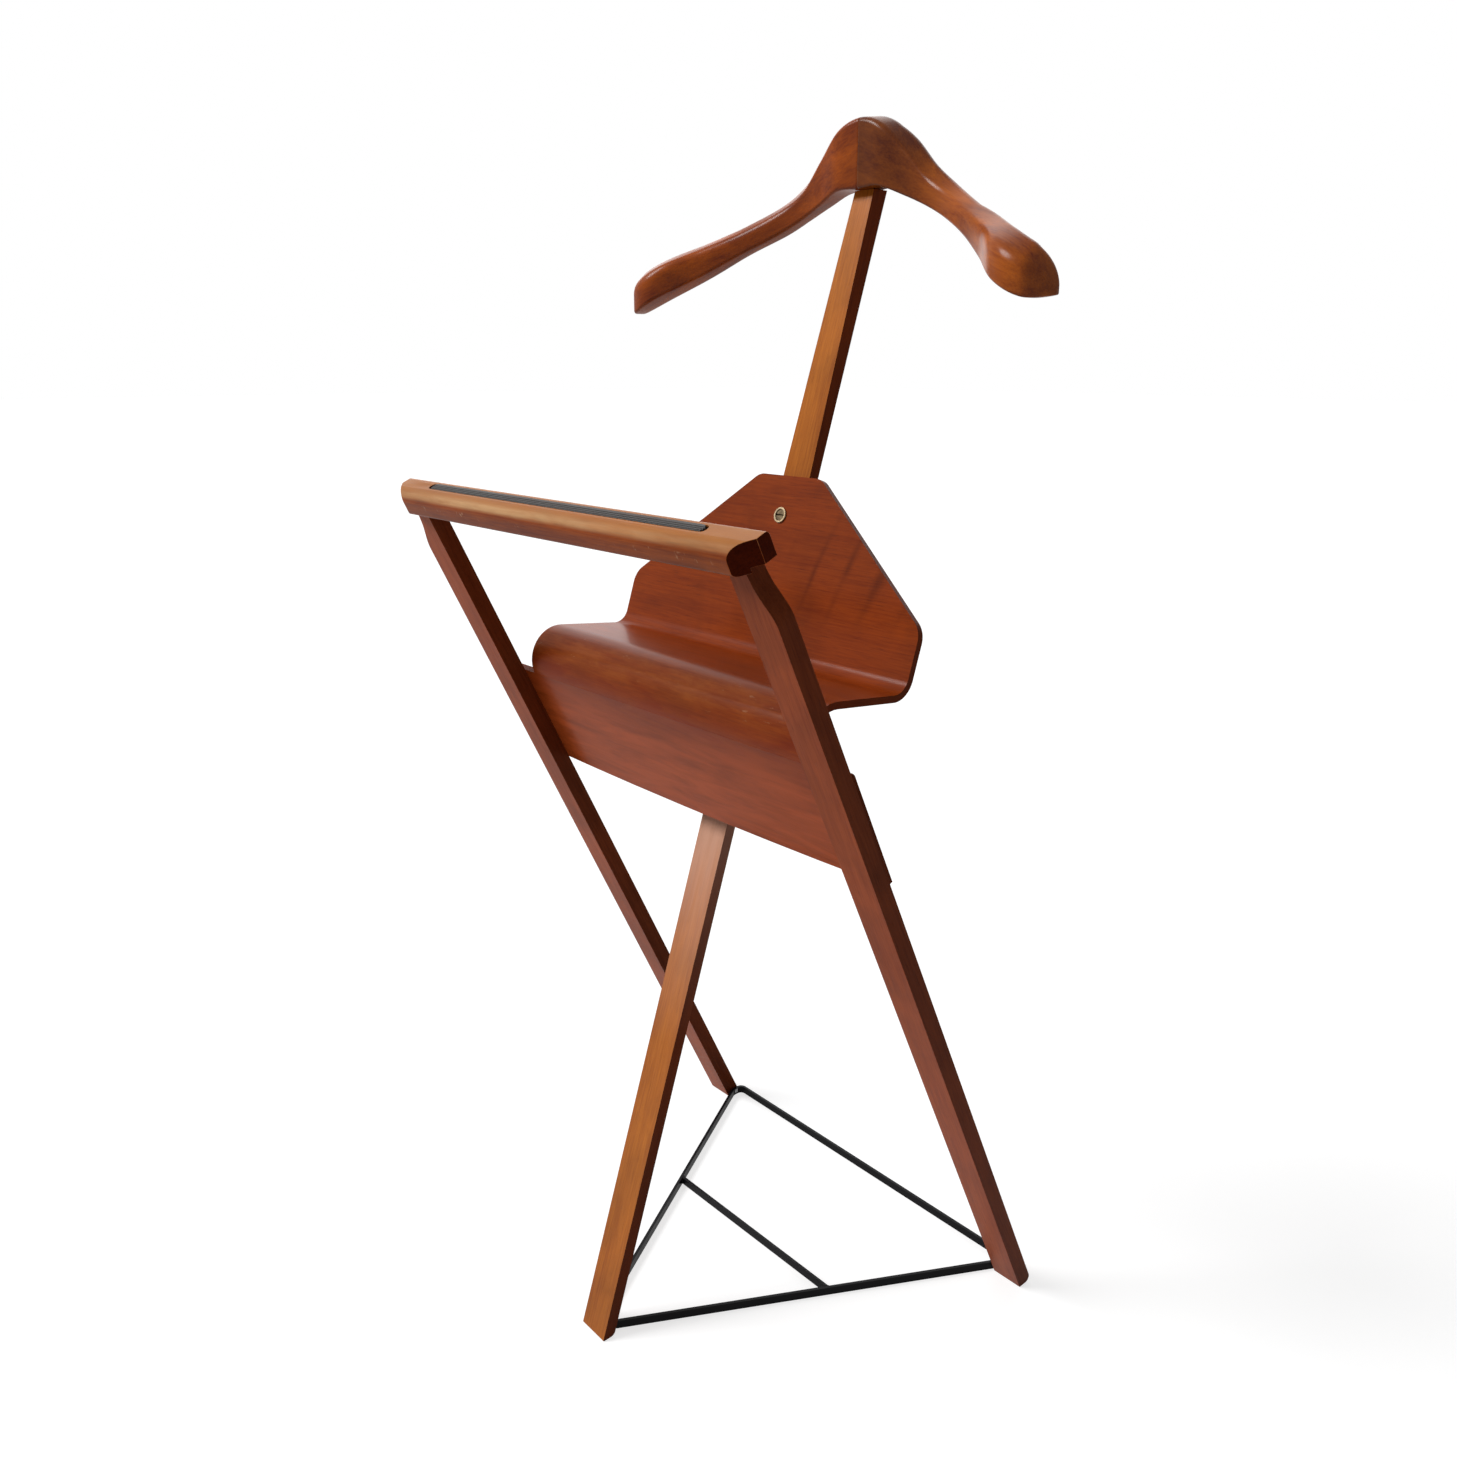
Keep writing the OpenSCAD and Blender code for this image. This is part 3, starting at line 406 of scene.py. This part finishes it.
def solid_copy(node):
    """A closed copy of a solid's mesh, its flat faces joined."""
    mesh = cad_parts[node].data.copy()
    mesh.materials.clear()
    bm = bmesh.new()
    bm.from_mesh(mesh)
    bmesh.ops.remove_doubles(bm, verts=bm.verts, dist=MERGE)
    bmesh.ops.dissolve_limit(bm, angle_limit=FLAT_WITHIN, verts=bm.verts, edges=bm.edges)
    for face in bm.faces:
        face.smooth = True
    bm.to_mesh(mesh)
    bm.free()
    return mesh


def softened_copy(node, finishes, width, steps, angle, is_side=None):
    """A solid's copy with rounded edges. Its finishes are those of its faces, its edges and its sides."""
    mesh = solid_copy(node)
    for finish in finishes:
        mesh.materials.append(FINISHES[finish])
    if is_side:
        for face in mesh.polygons:
            if is_side(face):
                face.material_index = 2
    mesh.set_sharp_from_angle(angle=math.radians(angle))
    return soften(mesh, width, steps, angle, 1 if len(finishes) > 1 else 0)


def dress(node, body, finishes, width, steps=2, angle=35.0, is_side=None):
    show(node + "_piece", softened_copy(node, finishes, width, steps, angle, is_side), body, node)


# Geometry node trees

class Shape(Nodes):
    """A geometry node tree with named sizes, in metres. It ends in real faces that carry a finish."""

    def __init__(self, name, **sizes):
        super().__init__(bpy.data.node_groups.new(name, "GeometryNodeTree"))
        self.socket("Geometry", "Geometry")
        for label, value in sizes.items():
            self.socket(label.replace("_", " "), "Int" if isinstance(value, int) else "Float", value)
        self.socket("Finish", "Material")
        self.socket("Geometry", "Geometry", way="OUTPUT")
        self.sizes = self.add("NodeGroupInput").outputs

    def socket(self, label, kind, value=None, way="INPUT"):
        socket = self.tree.interface.new_socket(label, in_out=way, socket_type="NodeSocket" + kind)
        if value is not None:
            socket.default_value = value

    def make(self, kind, settings=None, **sockets):
        return self.add(kind, settings, **sockets).outputs[0]

    def close(self, shape):
        whole = self.make("GeometryNodeRealizeInstances", Geometry=shape)
        painted = self.make("GeometryNodeSetMaterial", Geometry=whole, Material=self.sizes["Finish"])
        self.add("NodeGroupOutput", Geometry=painted)
        return self.tree


def grow(mesh, tree, finish, sizes):
    """The mesh that a tree makes from a host mesh, with its named sizes set."""
    host = bpy.data.objects.new("host", mesh)
    scene.collection.objects.link(host)
    modifier = host.modifiers.new("tree", "NODES")
    modifier.node_group = tree
    values = {"Finish": FINISHES[finish], **sizes}
    for item in tree.interface.items_tree:
        if item.in_out == "INPUT" and item.name in values:
            modifier[item.identifier] = values[item.name]
    return finished(host)


def rib_tree():
    """Cuts evenly spaced, round grooves along a strip, which leave ribs between them."""
    t = Shape("ribs_of_a_strip", Length=0.36, Width=0.008, Ribs=4, Groove_radius=0.0005)
    pitch = t.math("DIVIDE", t.sizes["Width"], t.sizes["Ribs"])
    grooves = t.math("SUBTRACT", t.sizes["Ribs"], 1.0)
    # The row starts half a rib short of centred, so the grooves lie that far to one side
    first = t.product(grooves, -0.5, pitch)
    row = t.make("GeometryNodeMeshLine", Count=grooves, Start_Location=t.make("ShaderNodeCombineXYZ", Y=first),
                 Offset=t.make("ShaderNodeCombineXYZ", Y=pitch))
    bar = t.make("GeometryNodeMeshCylinder", Vertices=12, Radius=t.sizes["Groove radius"],
                 Depth=t.sizes["Length"])
    cuts = t.make("GeometryNodeInstanceOnPoints", Points=row, Instance=bar, Rotation=(0, math.pi / 2, 0))
    whole = t.make("GeometryNodeRealizeInstances", Geometry=cuts)
    return t.close(t.make("GeometryNodeMeshBoolean", {"operation": "DIFFERENCE", "solver": "EXACT"},
                          Mesh_1=t.sizes["Geometry"], Mesh_2=whole))


def screw_tree():
    """A slotted screw on each point of the host, its shank along the point's own aim."""
    t = Shape("slotted_screws", Head_radius=0.004, Head_height=0.0022, Taper=0.5, Slot_width=0.0012,
              Slot_depth=0.001, Shank_radius=0.0019, Length=0.017)
    head_radius, length = t.sizes["Head radius"], t.sizes["Length"]
    head = t.make("GeometryNodeMeshCone", Vertices=40, Radius_Top=t.product(head_radius, t.sizes["Taper"]),
                  Radius_Bottom=head_radius, Depth=t.sizes["Head height"])
    slot_size = t.make("ShaderNodeCombineXYZ", X=t.product(head_radius, 2.4), Y=t.sizes["Slot width"],
                       Z=t.product(t.sizes["Slot depth"], 2.0))
    slot = t.make("GeometryNodeMeshCube", Size=slot_size)
    shank = t.make("GeometryNodeMeshCylinder", Vertices=24, Radius=t.sizes["Shank radius"], Depth=length)
    down = t.make("ShaderNodeCombineXYZ", Z=t.product(length, 0.5))
    sunk = t.make("GeometryNodeTransform", Geometry=shank, Translation=down)
    solid = t.add("GeometryNodeMeshBoolean", {"operation": "UNION", "solver": "EXACT"}, Mesh_2=head)
    t.tree.links.new(sunk, solid.inputs["Mesh 2"])
    cut = t.make("GeometryNodeMeshBoolean", {"operation": "DIFFERENCE", "solver": "EXACT"},
                 Mesh_1=solid.outputs[0], Mesh_2=slot)
    aim = t.make("GeometryNodeInputNamedAttribute", {"data_type": "FLOAT_VECTOR"}, Name="aim")
    turn = t.make("FunctionNodeAlignRotationToVector", {"axis": "Z"}, Vector=aim)
    return t.close(t.make("GeometryNodeInstanceOnPoints", Points=t.sizes["Geometry"], Instance=cut,
                          Rotation=turn))


def screws(places, aims, tree, sizes):
    """Screws at places, each with its length along its aim."""
    mesh = bpy.data.meshes.new("screw_places")
    mesh.from_pydata([Vector(p) * MM for p in places], [], [])
    aim = mesh.attributes.new("aim", "FLOAT_VECTOR", "POINT")
    aim.data.foreach_set("vector", [v for a in aims for v in a])
    return grow(mesh, tree, "steel", sizes)


# Wooden pieces

# Heights, in metres, above which only the panel's top faces up and below which only the apron's edge
# faces down
TRAY_TOP_ABOVE, TRAY_FOOT_BELOW = 0.7, 0.5


# The faces turned aside, which take a darker wood as painted shade on the legs, the bar and the post
def faces_aside(face):
    return abs(face.normal.x) > 0.5


def tray_rim(face):
    """The sheet's cut edges: its sides, the panel's top and the apron's lower edge."""
    up_post, up_leg = math.radians(POST_LEAN), math.radians(LEG_LEAN)
    faces_up = face.normal.y * math.sin(up_post) + face.normal.z * math.cos(up_post) > 0.9
    faces_down = face.normal.y * math.sin(up_leg) - face.normal.z * math.cos(up_leg) > 0.9
    top = faces_up and face.center.z > TRAY_TOP_ABOVE
    foot = faces_down and face.center.z < TRAY_FOOT_BELOW
    return abs(face.normal.x) > 0.25 or top or foot


def legs_bar_tray_post():
    # Painted shade: the legs', the bar's and the post's faces turned aside take their third finish, a darker
    # copy of their wood
    leg = ("leg", "leg_edge", "leg_painted_shade_side")
    for side in ("left", "right"):
        dress("leg_" + side, "leg_frame", leg, 0.9, 3, 28.0, faces_aside)
    dress("trouser_bar", "leg_frame", ("bar", "bar_edge", "bar_painted_shade_end"), 0.8, 3, 32.0, faces_aside)
    dress("tray", "leg_frame", ("tray", "tray_edge", "tray_edge"), 0.9, 3, 40.0, tray_rim)
    dress("post", "post", ("post", "post_edge", "post_painted_shade_side"), 0.9, 3, 28.0, faces_aside)


# The hanger's section at places along a half, from the seam to the tip: shares of the half's span, the
# front face, the depth, the underside, the front ridge and the crown
PLACE_SHARE = [0, 0.1, 0.2, 0.3, 0.4, 0.54, 0.68, 0.82, 0.93, 1]
FRONT_LINE = [-10.5, -11.5, -7, -5.5, -11, -29, -52, -79.5, -81.5, -65.5]
DEPTH_LINE = [28, 25.5, 20.5, 17.5, 19, 20, 25.5, 30.5, 23, 14]
UNDER_LINE = [0, 0, -9, -19.5, -31, -48, -68, -87.5, -99.5, -99.5]
RIDGE_LINE = [57.5, 49.5, 27, 2, -12.5, -30.5, -44.5, -60.5, -74, -83]
CROWN_LINE = [61, 57.5, 45.5, 22, 3.5, -14, -30.5, -44.5, -54, -58.5]
# The section's corners are rounded by radii that grow from the seam to the share where the arm is full
SEAM_RADII, ARM_RADII, FULL_ARM = (3, 5, 8, 3), (3, 15, 6, 10), 0.68
HALF_SPAN = 246.0
HANGER_Y, HANGER_Z = -18.7586 + SHIFT_Y, 1015.5
# The tip shrinks towards a point near its underside
TIP_ROUND, TIP_SHARE, TIP_FALL = 18.5, 0.05, 0.94
# The seam's edge is eased by this much
SEAM_EASE = 0.5
# Steps along the arm, round the tip and round each corner of the section
ARM_STEPS, TIP_STEPS, CORNER_STEPS = 100, 16, 9
HANGER_MERGE, HANGER_SHARP = 0.000005, math.radians(50)


def curve_through(values, x):
    """A smooth curve through the values at the places, level at the seam."""
    knots = [share * HALF_SPAN for share in PLACE_SHARE]
    last = len(knots) - 1
    i = max(k for k in range(last) if k == 0 or x >= knots[k])

    def slope(k):
        low, high = max(0, k - 1), min(last, k + 1)
        return 0.0 if k == 0 else (values[high] - values[low]) / (knots[high] - knots[low])

    width = knots[i + 1] - knots[i]
    t = (x - knots[i]) / width
    return (values[i] * (2 * t ** 3 - 3 * t ** 2 + 1) + slope(i) * width * (t ** 3 - 2 * t ** 2 + t)
            + values[i + 1] * (3 * t ** 2 - 2 * t ** 3) + slope(i + 1) * width * (t ** 3 - t ** 2))


def rounded(corners, radii, steps):
    """The corners of an outline, each rounded by an arc."""
    points = []
    for i, corner in enumerate(corners):
        corner = Vector(corner)
        before, after = Vector(corners[i - 1]), Vector(corners[(i + 1) % len(corners)])
        back, ahead = (before - corner).normalized(), (after - corner).normalized()
        half = back.angle(ahead) / 2
        room = 0.48 * min((before - corner).length, (after - corner).length)
        radius = min(radii[i], room * math.tan(half))
        centre = corner + (back + ahead).normalized() * radius / math.sin(half)
        start = corner + back * radius / math.tan(half) - centre
        stop = corner + ahead * radius / math.tan(half) - centre
        first = math.atan2(start.y, start.x)
        sweep = (math.atan2(stop.y, stop.x) - first + math.pi) % (2 * math.pi) - math.pi
        for k in range(steps + 1):
            angle = first + sweep * k / steps
            points.append(centre + radius * Vector((math.cos(angle), math.sin(angle))))
    return points


def hanger_ring(x):
    """The outline of the hanger's section at a distance from the seam."""
    front = curve_through(FRONT_LINE, x)
    back = front + curve_through(DEPTH_LINE, x)
    under, ridge, crown = (curve_through(line, x) for line in (UNDER_LINE, RIDGE_LINE, CROWN_LINE))
    share = min(1.0, x / HALF_SPAN / FULL_ARM)
    radii = [a + (b - a) * share for a, b in zip(SEAM_RADII, ARM_RADII)]
    end = max(0.0, (x - HALF_SPAN + TIP_ROUND) / TIP_ROUND)
    shrink = math.sqrt(1 - TIP_FALL * end * end)
    centre = Vector(((front + back) / 2, under + (crown - under) * TIP_SHARE))
    corners = [(front, under), (front, ridge), (back, crown), (back, under)]
    return [centre + (p - centre) * shrink for p in rounded(corners, radii, CORNER_STEPS)]


def hanger_half(side):
    arm = HALF_SPAN - TIP_ROUND
    stations = [arm * i / ARM_STEPS for i in range(ARM_STEPS)]
    stations += [arm + TIP_ROUND * math.sin(math.pi / 2 * i / TIP_STEPS) for i in range(TIP_STEPS + 1)]
    rings = [hanger_ring(x) for x in stations]
    middle = sum(rings[0], Vector((0, 0))) / len(rings[0])
    rings.insert(0, [middle + (p - middle) * (1 - SEAM_EASE / (p - middle).length) for p in rings[0]])
    stations = [0.0] + [max(x, SEAM_EASE) for x in stations]
    count, last = len(rings[0]), len(rings) - 1
    points = [(side * x * MM, (p.x + HANGER_Y) * MM, (p.y + HANGER_Z) * MM)
              for x, ring in zip(stations, rings) for p in ring]
    faces = [(i * count + j, i * count + k, (i + 1) * count + k, (i + 1) * count + j)
             for i in range(last) for j in range(count) for k in [(j + 1) % count]]
    faces += [tuple(range(count)), tuple(last * count + j for j in range(count))]
    mesh = bpy.data.meshes.new("hanger_half")
    mesh.from_pydata(points, [], faces)
    bm = bmesh.new()
    bm.from_mesh(mesh)
    bmesh.ops.remove_doubles(bm, verts=bm.verts, dist=HANGER_MERGE)
    bmesh.ops.recalc_face_normals(bm, faces=bm.faces)
    for face in bm.faces:
        face.smooth = True
    bm.to_mesh(mesh)
    bm.free()
    mesh.set_sharp_from_angle(angle=HANGER_SHARP)
    node = "hanger_left" if side < 0 else "hanger_right"
    mesh.materials.append(FINISHES[node])
    show(node + "_piece", mesh, "post", node)


# Steel base

FLAT_H, FLAT_T = 8.0, 3.0
# Half of the loop's width at the legs, and where the cross bar lies
SIDE_X, CROSS_Y = 198.2, -146.1 + SHIFT_Y
# Where the loop's sides start to spread, by how much they do, and where the cross bar ends on them
SPREAD_X, SPREAD_Y = 9.2, -326.54 + SHIFT_Y
SPLAY = math.radians(29.6121)
CROSS_END = SPREAD_X + (CROSS_Y - SPREAD_Y) * math.tan(SPLAY) - FLAT_T / 2 / math.cos(SPLAY)
# A weld bead's size, how far it is sunk into the loop's side, and how narrow it gets at its ends
BEAD = {"steps up": 14, "steps around": 10, "radius": 1.0, "lift": 0.5, "into side": 0.6, "off bar": 0.2,
        "end": 0.55}


def steel_base():
    for node in ("base_loop", "base_pin"):
        dress(node, "leg_frame", ["steel_paint"], 0.4)
    mesh = softened_copy("base_cross_bar", ["steel_paint"], 0.4, 2, 35.0)
    bm = bmesh.new()
    bm.from_mesh(mesh)
    for side in (-1, 1):
        for face in (-1, 1):
            weld_bead(bm, side, face)
    bm.to_mesh(mesh)
    bm.free()
    show("base_cross_bar_piece", mesh, "leg_frame", "base_cross_bar")


def weld_bead(bm, side, face):
    """A lumpy run of weld up the corner between the cross bar and a side of the loop."""
    up, around, lift = BEAD["steps up"], BEAD["steps around"], BEAD["lift"]
    x = side * (CROSS_END + face * FLAT_T / 2 * math.tan(SPLAY) - BEAD["into side"])
    corner = Vector((x, CROSS_Y + face * FLAT_T / 2 + face * BEAD["off bar"], 0))
    rings = []
    for i in range(up + 1):
        z = lift + (FLAT_H - 2 * lift) * i / up
        wide = BEAD["radius"] * (1 + 0.18 * math.sin(5.1 * i + side) + 0.1 * math.sin(2.3 * i + face))
        wide *= BEAD["end"] if i in (0, up) else 1.0
        angles = [2 * math.pi * j / around for j in range(around)]
        rings.append([bm.verts.new((corner + Vector((wide * math.cos(a), wide * math.sin(a), z))) * MM)
                      for a in angles])
    faces = [bm.faces.new(reversed(rings[0])), bm.faces.new(rings[-1])]
    for low, high in zip(rings, rings[1:]):
        for j in range(around):
            k = (j + 1) % around
            faces.append(bm.faces.new((low[j], low[k], high[k], high[j])))
    for one in faces:
        one.smooth = True


# Small pieces

def along_leg(x, v, w):
    """A place in the frame from one across, behind and up along the legs."""
    a = math.radians(LEG_LEAN)
    return (x, v * math.cos(a) - w * math.sin(a) + SHIFT_Y, v * math.sin(a) + w * math.cos(a))


# The apron's back, the places of its screws, and how far the heads' middles lie below it
APRON_BACK, APRON_SCREW_X, APRON_SCREW_UP, APRON_SCREW_SUNK = 22.0, 213.0, (560.5, 614.0), 1.0
APRON_SCREW = {"Head radius": 0.004, "Head height": 0.002, "Taper": 0.5, "Shank radius": 0.0018,
               "Length": 0.015}
# The same for the screws that hold the loop on the legs' inner faces
FOOT_SCREW_Y, FOOT_SCREW_SUNK = 10.9861 + SHIFT_Y, 0.7
FOOT_SCREW = {"Head radius": 0.0031, "Head height": 0.0013, "Taper": 0.6, "Shank radius": 0.0018,
              "Length": 0.0145}


def small_pieces():
    a = math.radians(LEG_LEAN)
    tree = screw_tree()
    places = [along_leg(side * APRON_SCREW_X, APRON_BACK - APRON_SCREW_SUNK, w)
              for side in (-1, 1) for w in APRON_SCREW_UP]
    mesh = screws(places, [(0, -math.cos(a), -math.sin(a))] * len(places), tree, APRON_SCREW)
    show("tray_screws_piece", mesh, "leg_frame", "tray_screws")
    head_x = SIDE_X - FLAT_T / 2 + FOOT_SCREW_SUNK
    places = [(side * head_x, FOOT_SCREW_Y, FLAT_H / 2) for side in (-1, 1)]
    mesh = screws(places, [(-1, 0, 0), (1, 0, 0)], tree, FOOT_SCREW)
    show("base_screws_piece", mesh, "leg_frame", "base_screws")
    for node, body, slot, finish, width in (
            ("bolt_ring", "leg_frame", "bronze", "bronze", 0.35),
            ("clamp_bolt", "bolt", "bronze", "bolt", 0.3),
            ("foot_clip", "post", "screw_steel", "steel", 0.2),
            ("clip_screw", "post", "screw_steel", "steel", 0.2),
            ("spacer_washer", "leg_frame", "felt", "felt", 0.4)):
        dress(node, body, [finish], width)
    for node, slot, finish in (("bar_dowels", "dowel_wood", "dowel"), ("hanger_dowels", "dowel_wood", "dowel"),
                               ("thread_insert", "bronze", "bronze")):
        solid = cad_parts[node]
        solid.data.materials.clear()
        solid.data.materials.append(FINISHES[finish])


STRIP = {"length": 360.0, "width": 8.0, "proud": 0.3, "sunk": 3.0, "behind legs' axis": 8.3, "ribs": 4,
         "groove": 0.7, "groove beyond": 5.0, "edge": 0.25}


def grip_strip():
    """The ribbed strip: a body with round ends, grooved by a tree."""
    radius = STRIP["width"] / 2
    reach = STRIP["length"] / 2 - radius
    outline = [(side * (reach + radius * math.cos(t)), side * radius * math.sin(t))
               for side in (1, -1) for t in [math.pi * (k / 16 - 0.5) for k in range(17)]]
    bm = bmesh.new()
    low, top = [[bm.verts.new((x * MM, y * MM, z * MM)) for x, y in outline]
                for z in (-STRIP["sunk"], STRIP["proud"])]
    bm.faces.new(reversed(low))
    bm.faces.new(top)
    for i in range(len(outline)):
        j = (i + 1) % len(outline)
        bm.faces.new((low[i], low[j], top[j], top[i]))
    # The tree cuts its grooves round height 0, so the top is lowered to it
    for vert in bm.verts:
        vert.co.z -= STRIP["proud"] * MM
    body = bpy.data.meshes.new("strip_body")
    bm.to_mesh(body)
    bm.free()
    mesh = grow(body, rib_tree(), "rubber", {
        "Length": (STRIP["length"] + 2 * STRIP["groove beyond"]) * MM, "Width": STRIP["width"] * MM,
        "Ribs": STRIP["ribs"], "Groove radius": STRIP["groove"] * MM})
    mesh = soften(mesh, STRIP["edge"], 2, 40.0)
    place = along_leg(0, STRIP["behind legs' axis"], BAR_TOP + STRIP["proud"])
    mesh.transform(Matrix.Translation(Vector(place) * MM) @ Matrix.Rotation(math.radians(LEG_LEAN), 4, "X"))
    show("grip_strip_piece", mesh, "leg_frame", "grip_strip")


# Floor, lights and camera

FLOOR_REACH, FLOOR_Z, FLOOR_GREY, FLOOR_GLOW = 30, -0.0002, 0.42, 0.70
WORLD_LEVEL = 0.19
# Each lamp's name, the way towards it, its strength and its width in degrees
LAMPS = (("key", (-0.55, -0.65, 0.75), 3.1, 26.0), ("fill", (-0.60, 0.75, 0.35), 1.4, 70.0))


def floor():
    """A pale floor that keeps the shadow and shows as white behind the object."""
    material = bpy.data.materials.new("floor")
    material.use_nodes = True
    look = Nodes(material.node_tree)
    lit = look.add("ShaderNodeBsdfDiffuse", None, Color=(FLOOR_GREY, FLOOR_GREY, FLOOR_GREY, 1))
    glow = look.product(look.background_seen(), FLOOR_GLOW)
    pale = look.add("ShaderNodeEmission", None, Color=(1, 1, 1, 1), Strength=glow)
    both = look.add("ShaderNodeAddShader", None, i0=lit.outputs[0], i1=pale.outputs[0])
    look.add("ShaderNodeOutputMaterial", None, Surface=both.outputs[0])
    mesh = bpy.data.meshes.new("floor")
    corners = [(x * FLOOR_REACH, y * FLOOR_REACH, FLOOR_Z) for x, y in ((-1, -1), (1, -1), (1, 1), (-1, 1))]
    mesh.from_pydata(corners, [], [(0, 1, 2, 3)])
    mesh.materials.append(material)
    plane = bpy.data.objects.new("floor", mesh)
    scene.collection.objects.link(plane)


def lights():
    """A dim world that shows as white, and two wide lamps."""
    world = bpy.data.worlds.new("studio")
    scene.world = world
    world.use_nodes = True
    sky = Nodes(world.node_tree)
    level = sky.add("ShaderNodeMapRange", None, Value=sky.background_seen(), To_Min=WORLD_LEVEL, To_Max=1.0)
    background = sky.add("ShaderNodeBackground", None, Color=(1, 1, 1, 1), Strength=level.outputs[0])
    sky.add("ShaderNodeOutputWorld", None, Surface=background.outputs[0])
    for name, toward, strength, width in LAMPS:
        sun = bpy.data.lights.new(name, "SUN")
        sun.energy = strength
        sun.angle = math.radians(width)
        lamp = bpy.data.objects.new(name, sun)
        lamp.rotation_mode = "QUATERNION"
        lamp.rotation_quaternion = Vector(toward).to_track_quat("Z", "Y")
        scene.collection.objects.link(lamp)


# The photo's own camera, worked out from the photo: its angles in radians, its place in metres, and the
# lens and the middle of its axis in the picture's pixels
TURN, DOWN, ROLL = 0.83993, 0.27319, 0.0033
EYE = (0.78465, (-869.92 + SHIFT_Y) * MM, 0.87093)
PICTURE, LENS, AXIS_X, AXIS_Y = 1457, 1219.54, 737.54, 702.36
SENSOR = 36.0


def camera():
    back = Vector((math.sin(TURN) * math.cos(DOWN), -math.cos(TURN) * math.cos(DOWN), math.sin(DOWN)))
    right = Vector((math.cos(TURN), math.sin(TURN), 0))
    up = back.cross(right)
    side = math.cos(ROLL) * right + math.sin(ROLL) * up
    top = -math.sin(ROLL) * right + math.cos(ROLL) * up
    lens = bpy.data.cameras.new("camera")
    lens.sensor_width = SENSOR
    lens.lens = SENSOR * LENS / PICTURE
    lens.shift_x = (PICTURE / 2 - AXIS_X) / PICTURE
    lens.shift_y = (AXIS_Y - PICTURE / 2) / PICTURE
    lens.clip_end = 200.0
    eye = bpy.data.objects.new("camera", lens)
    scene.collection.objects.link(eye)
    eye.matrix_world = Matrix.Translation(EYE) @ Matrix((side, top, back)).transposed().to_4x4()
    scene.camera = eye


legs_bar_tray_post()
for side in (-1, 1):
    hanger_half(side)
steel_base()
grip_strip()
small_pieces()
floor()
lights()
camera()
scene.view_settings.view_transform = "Standard"
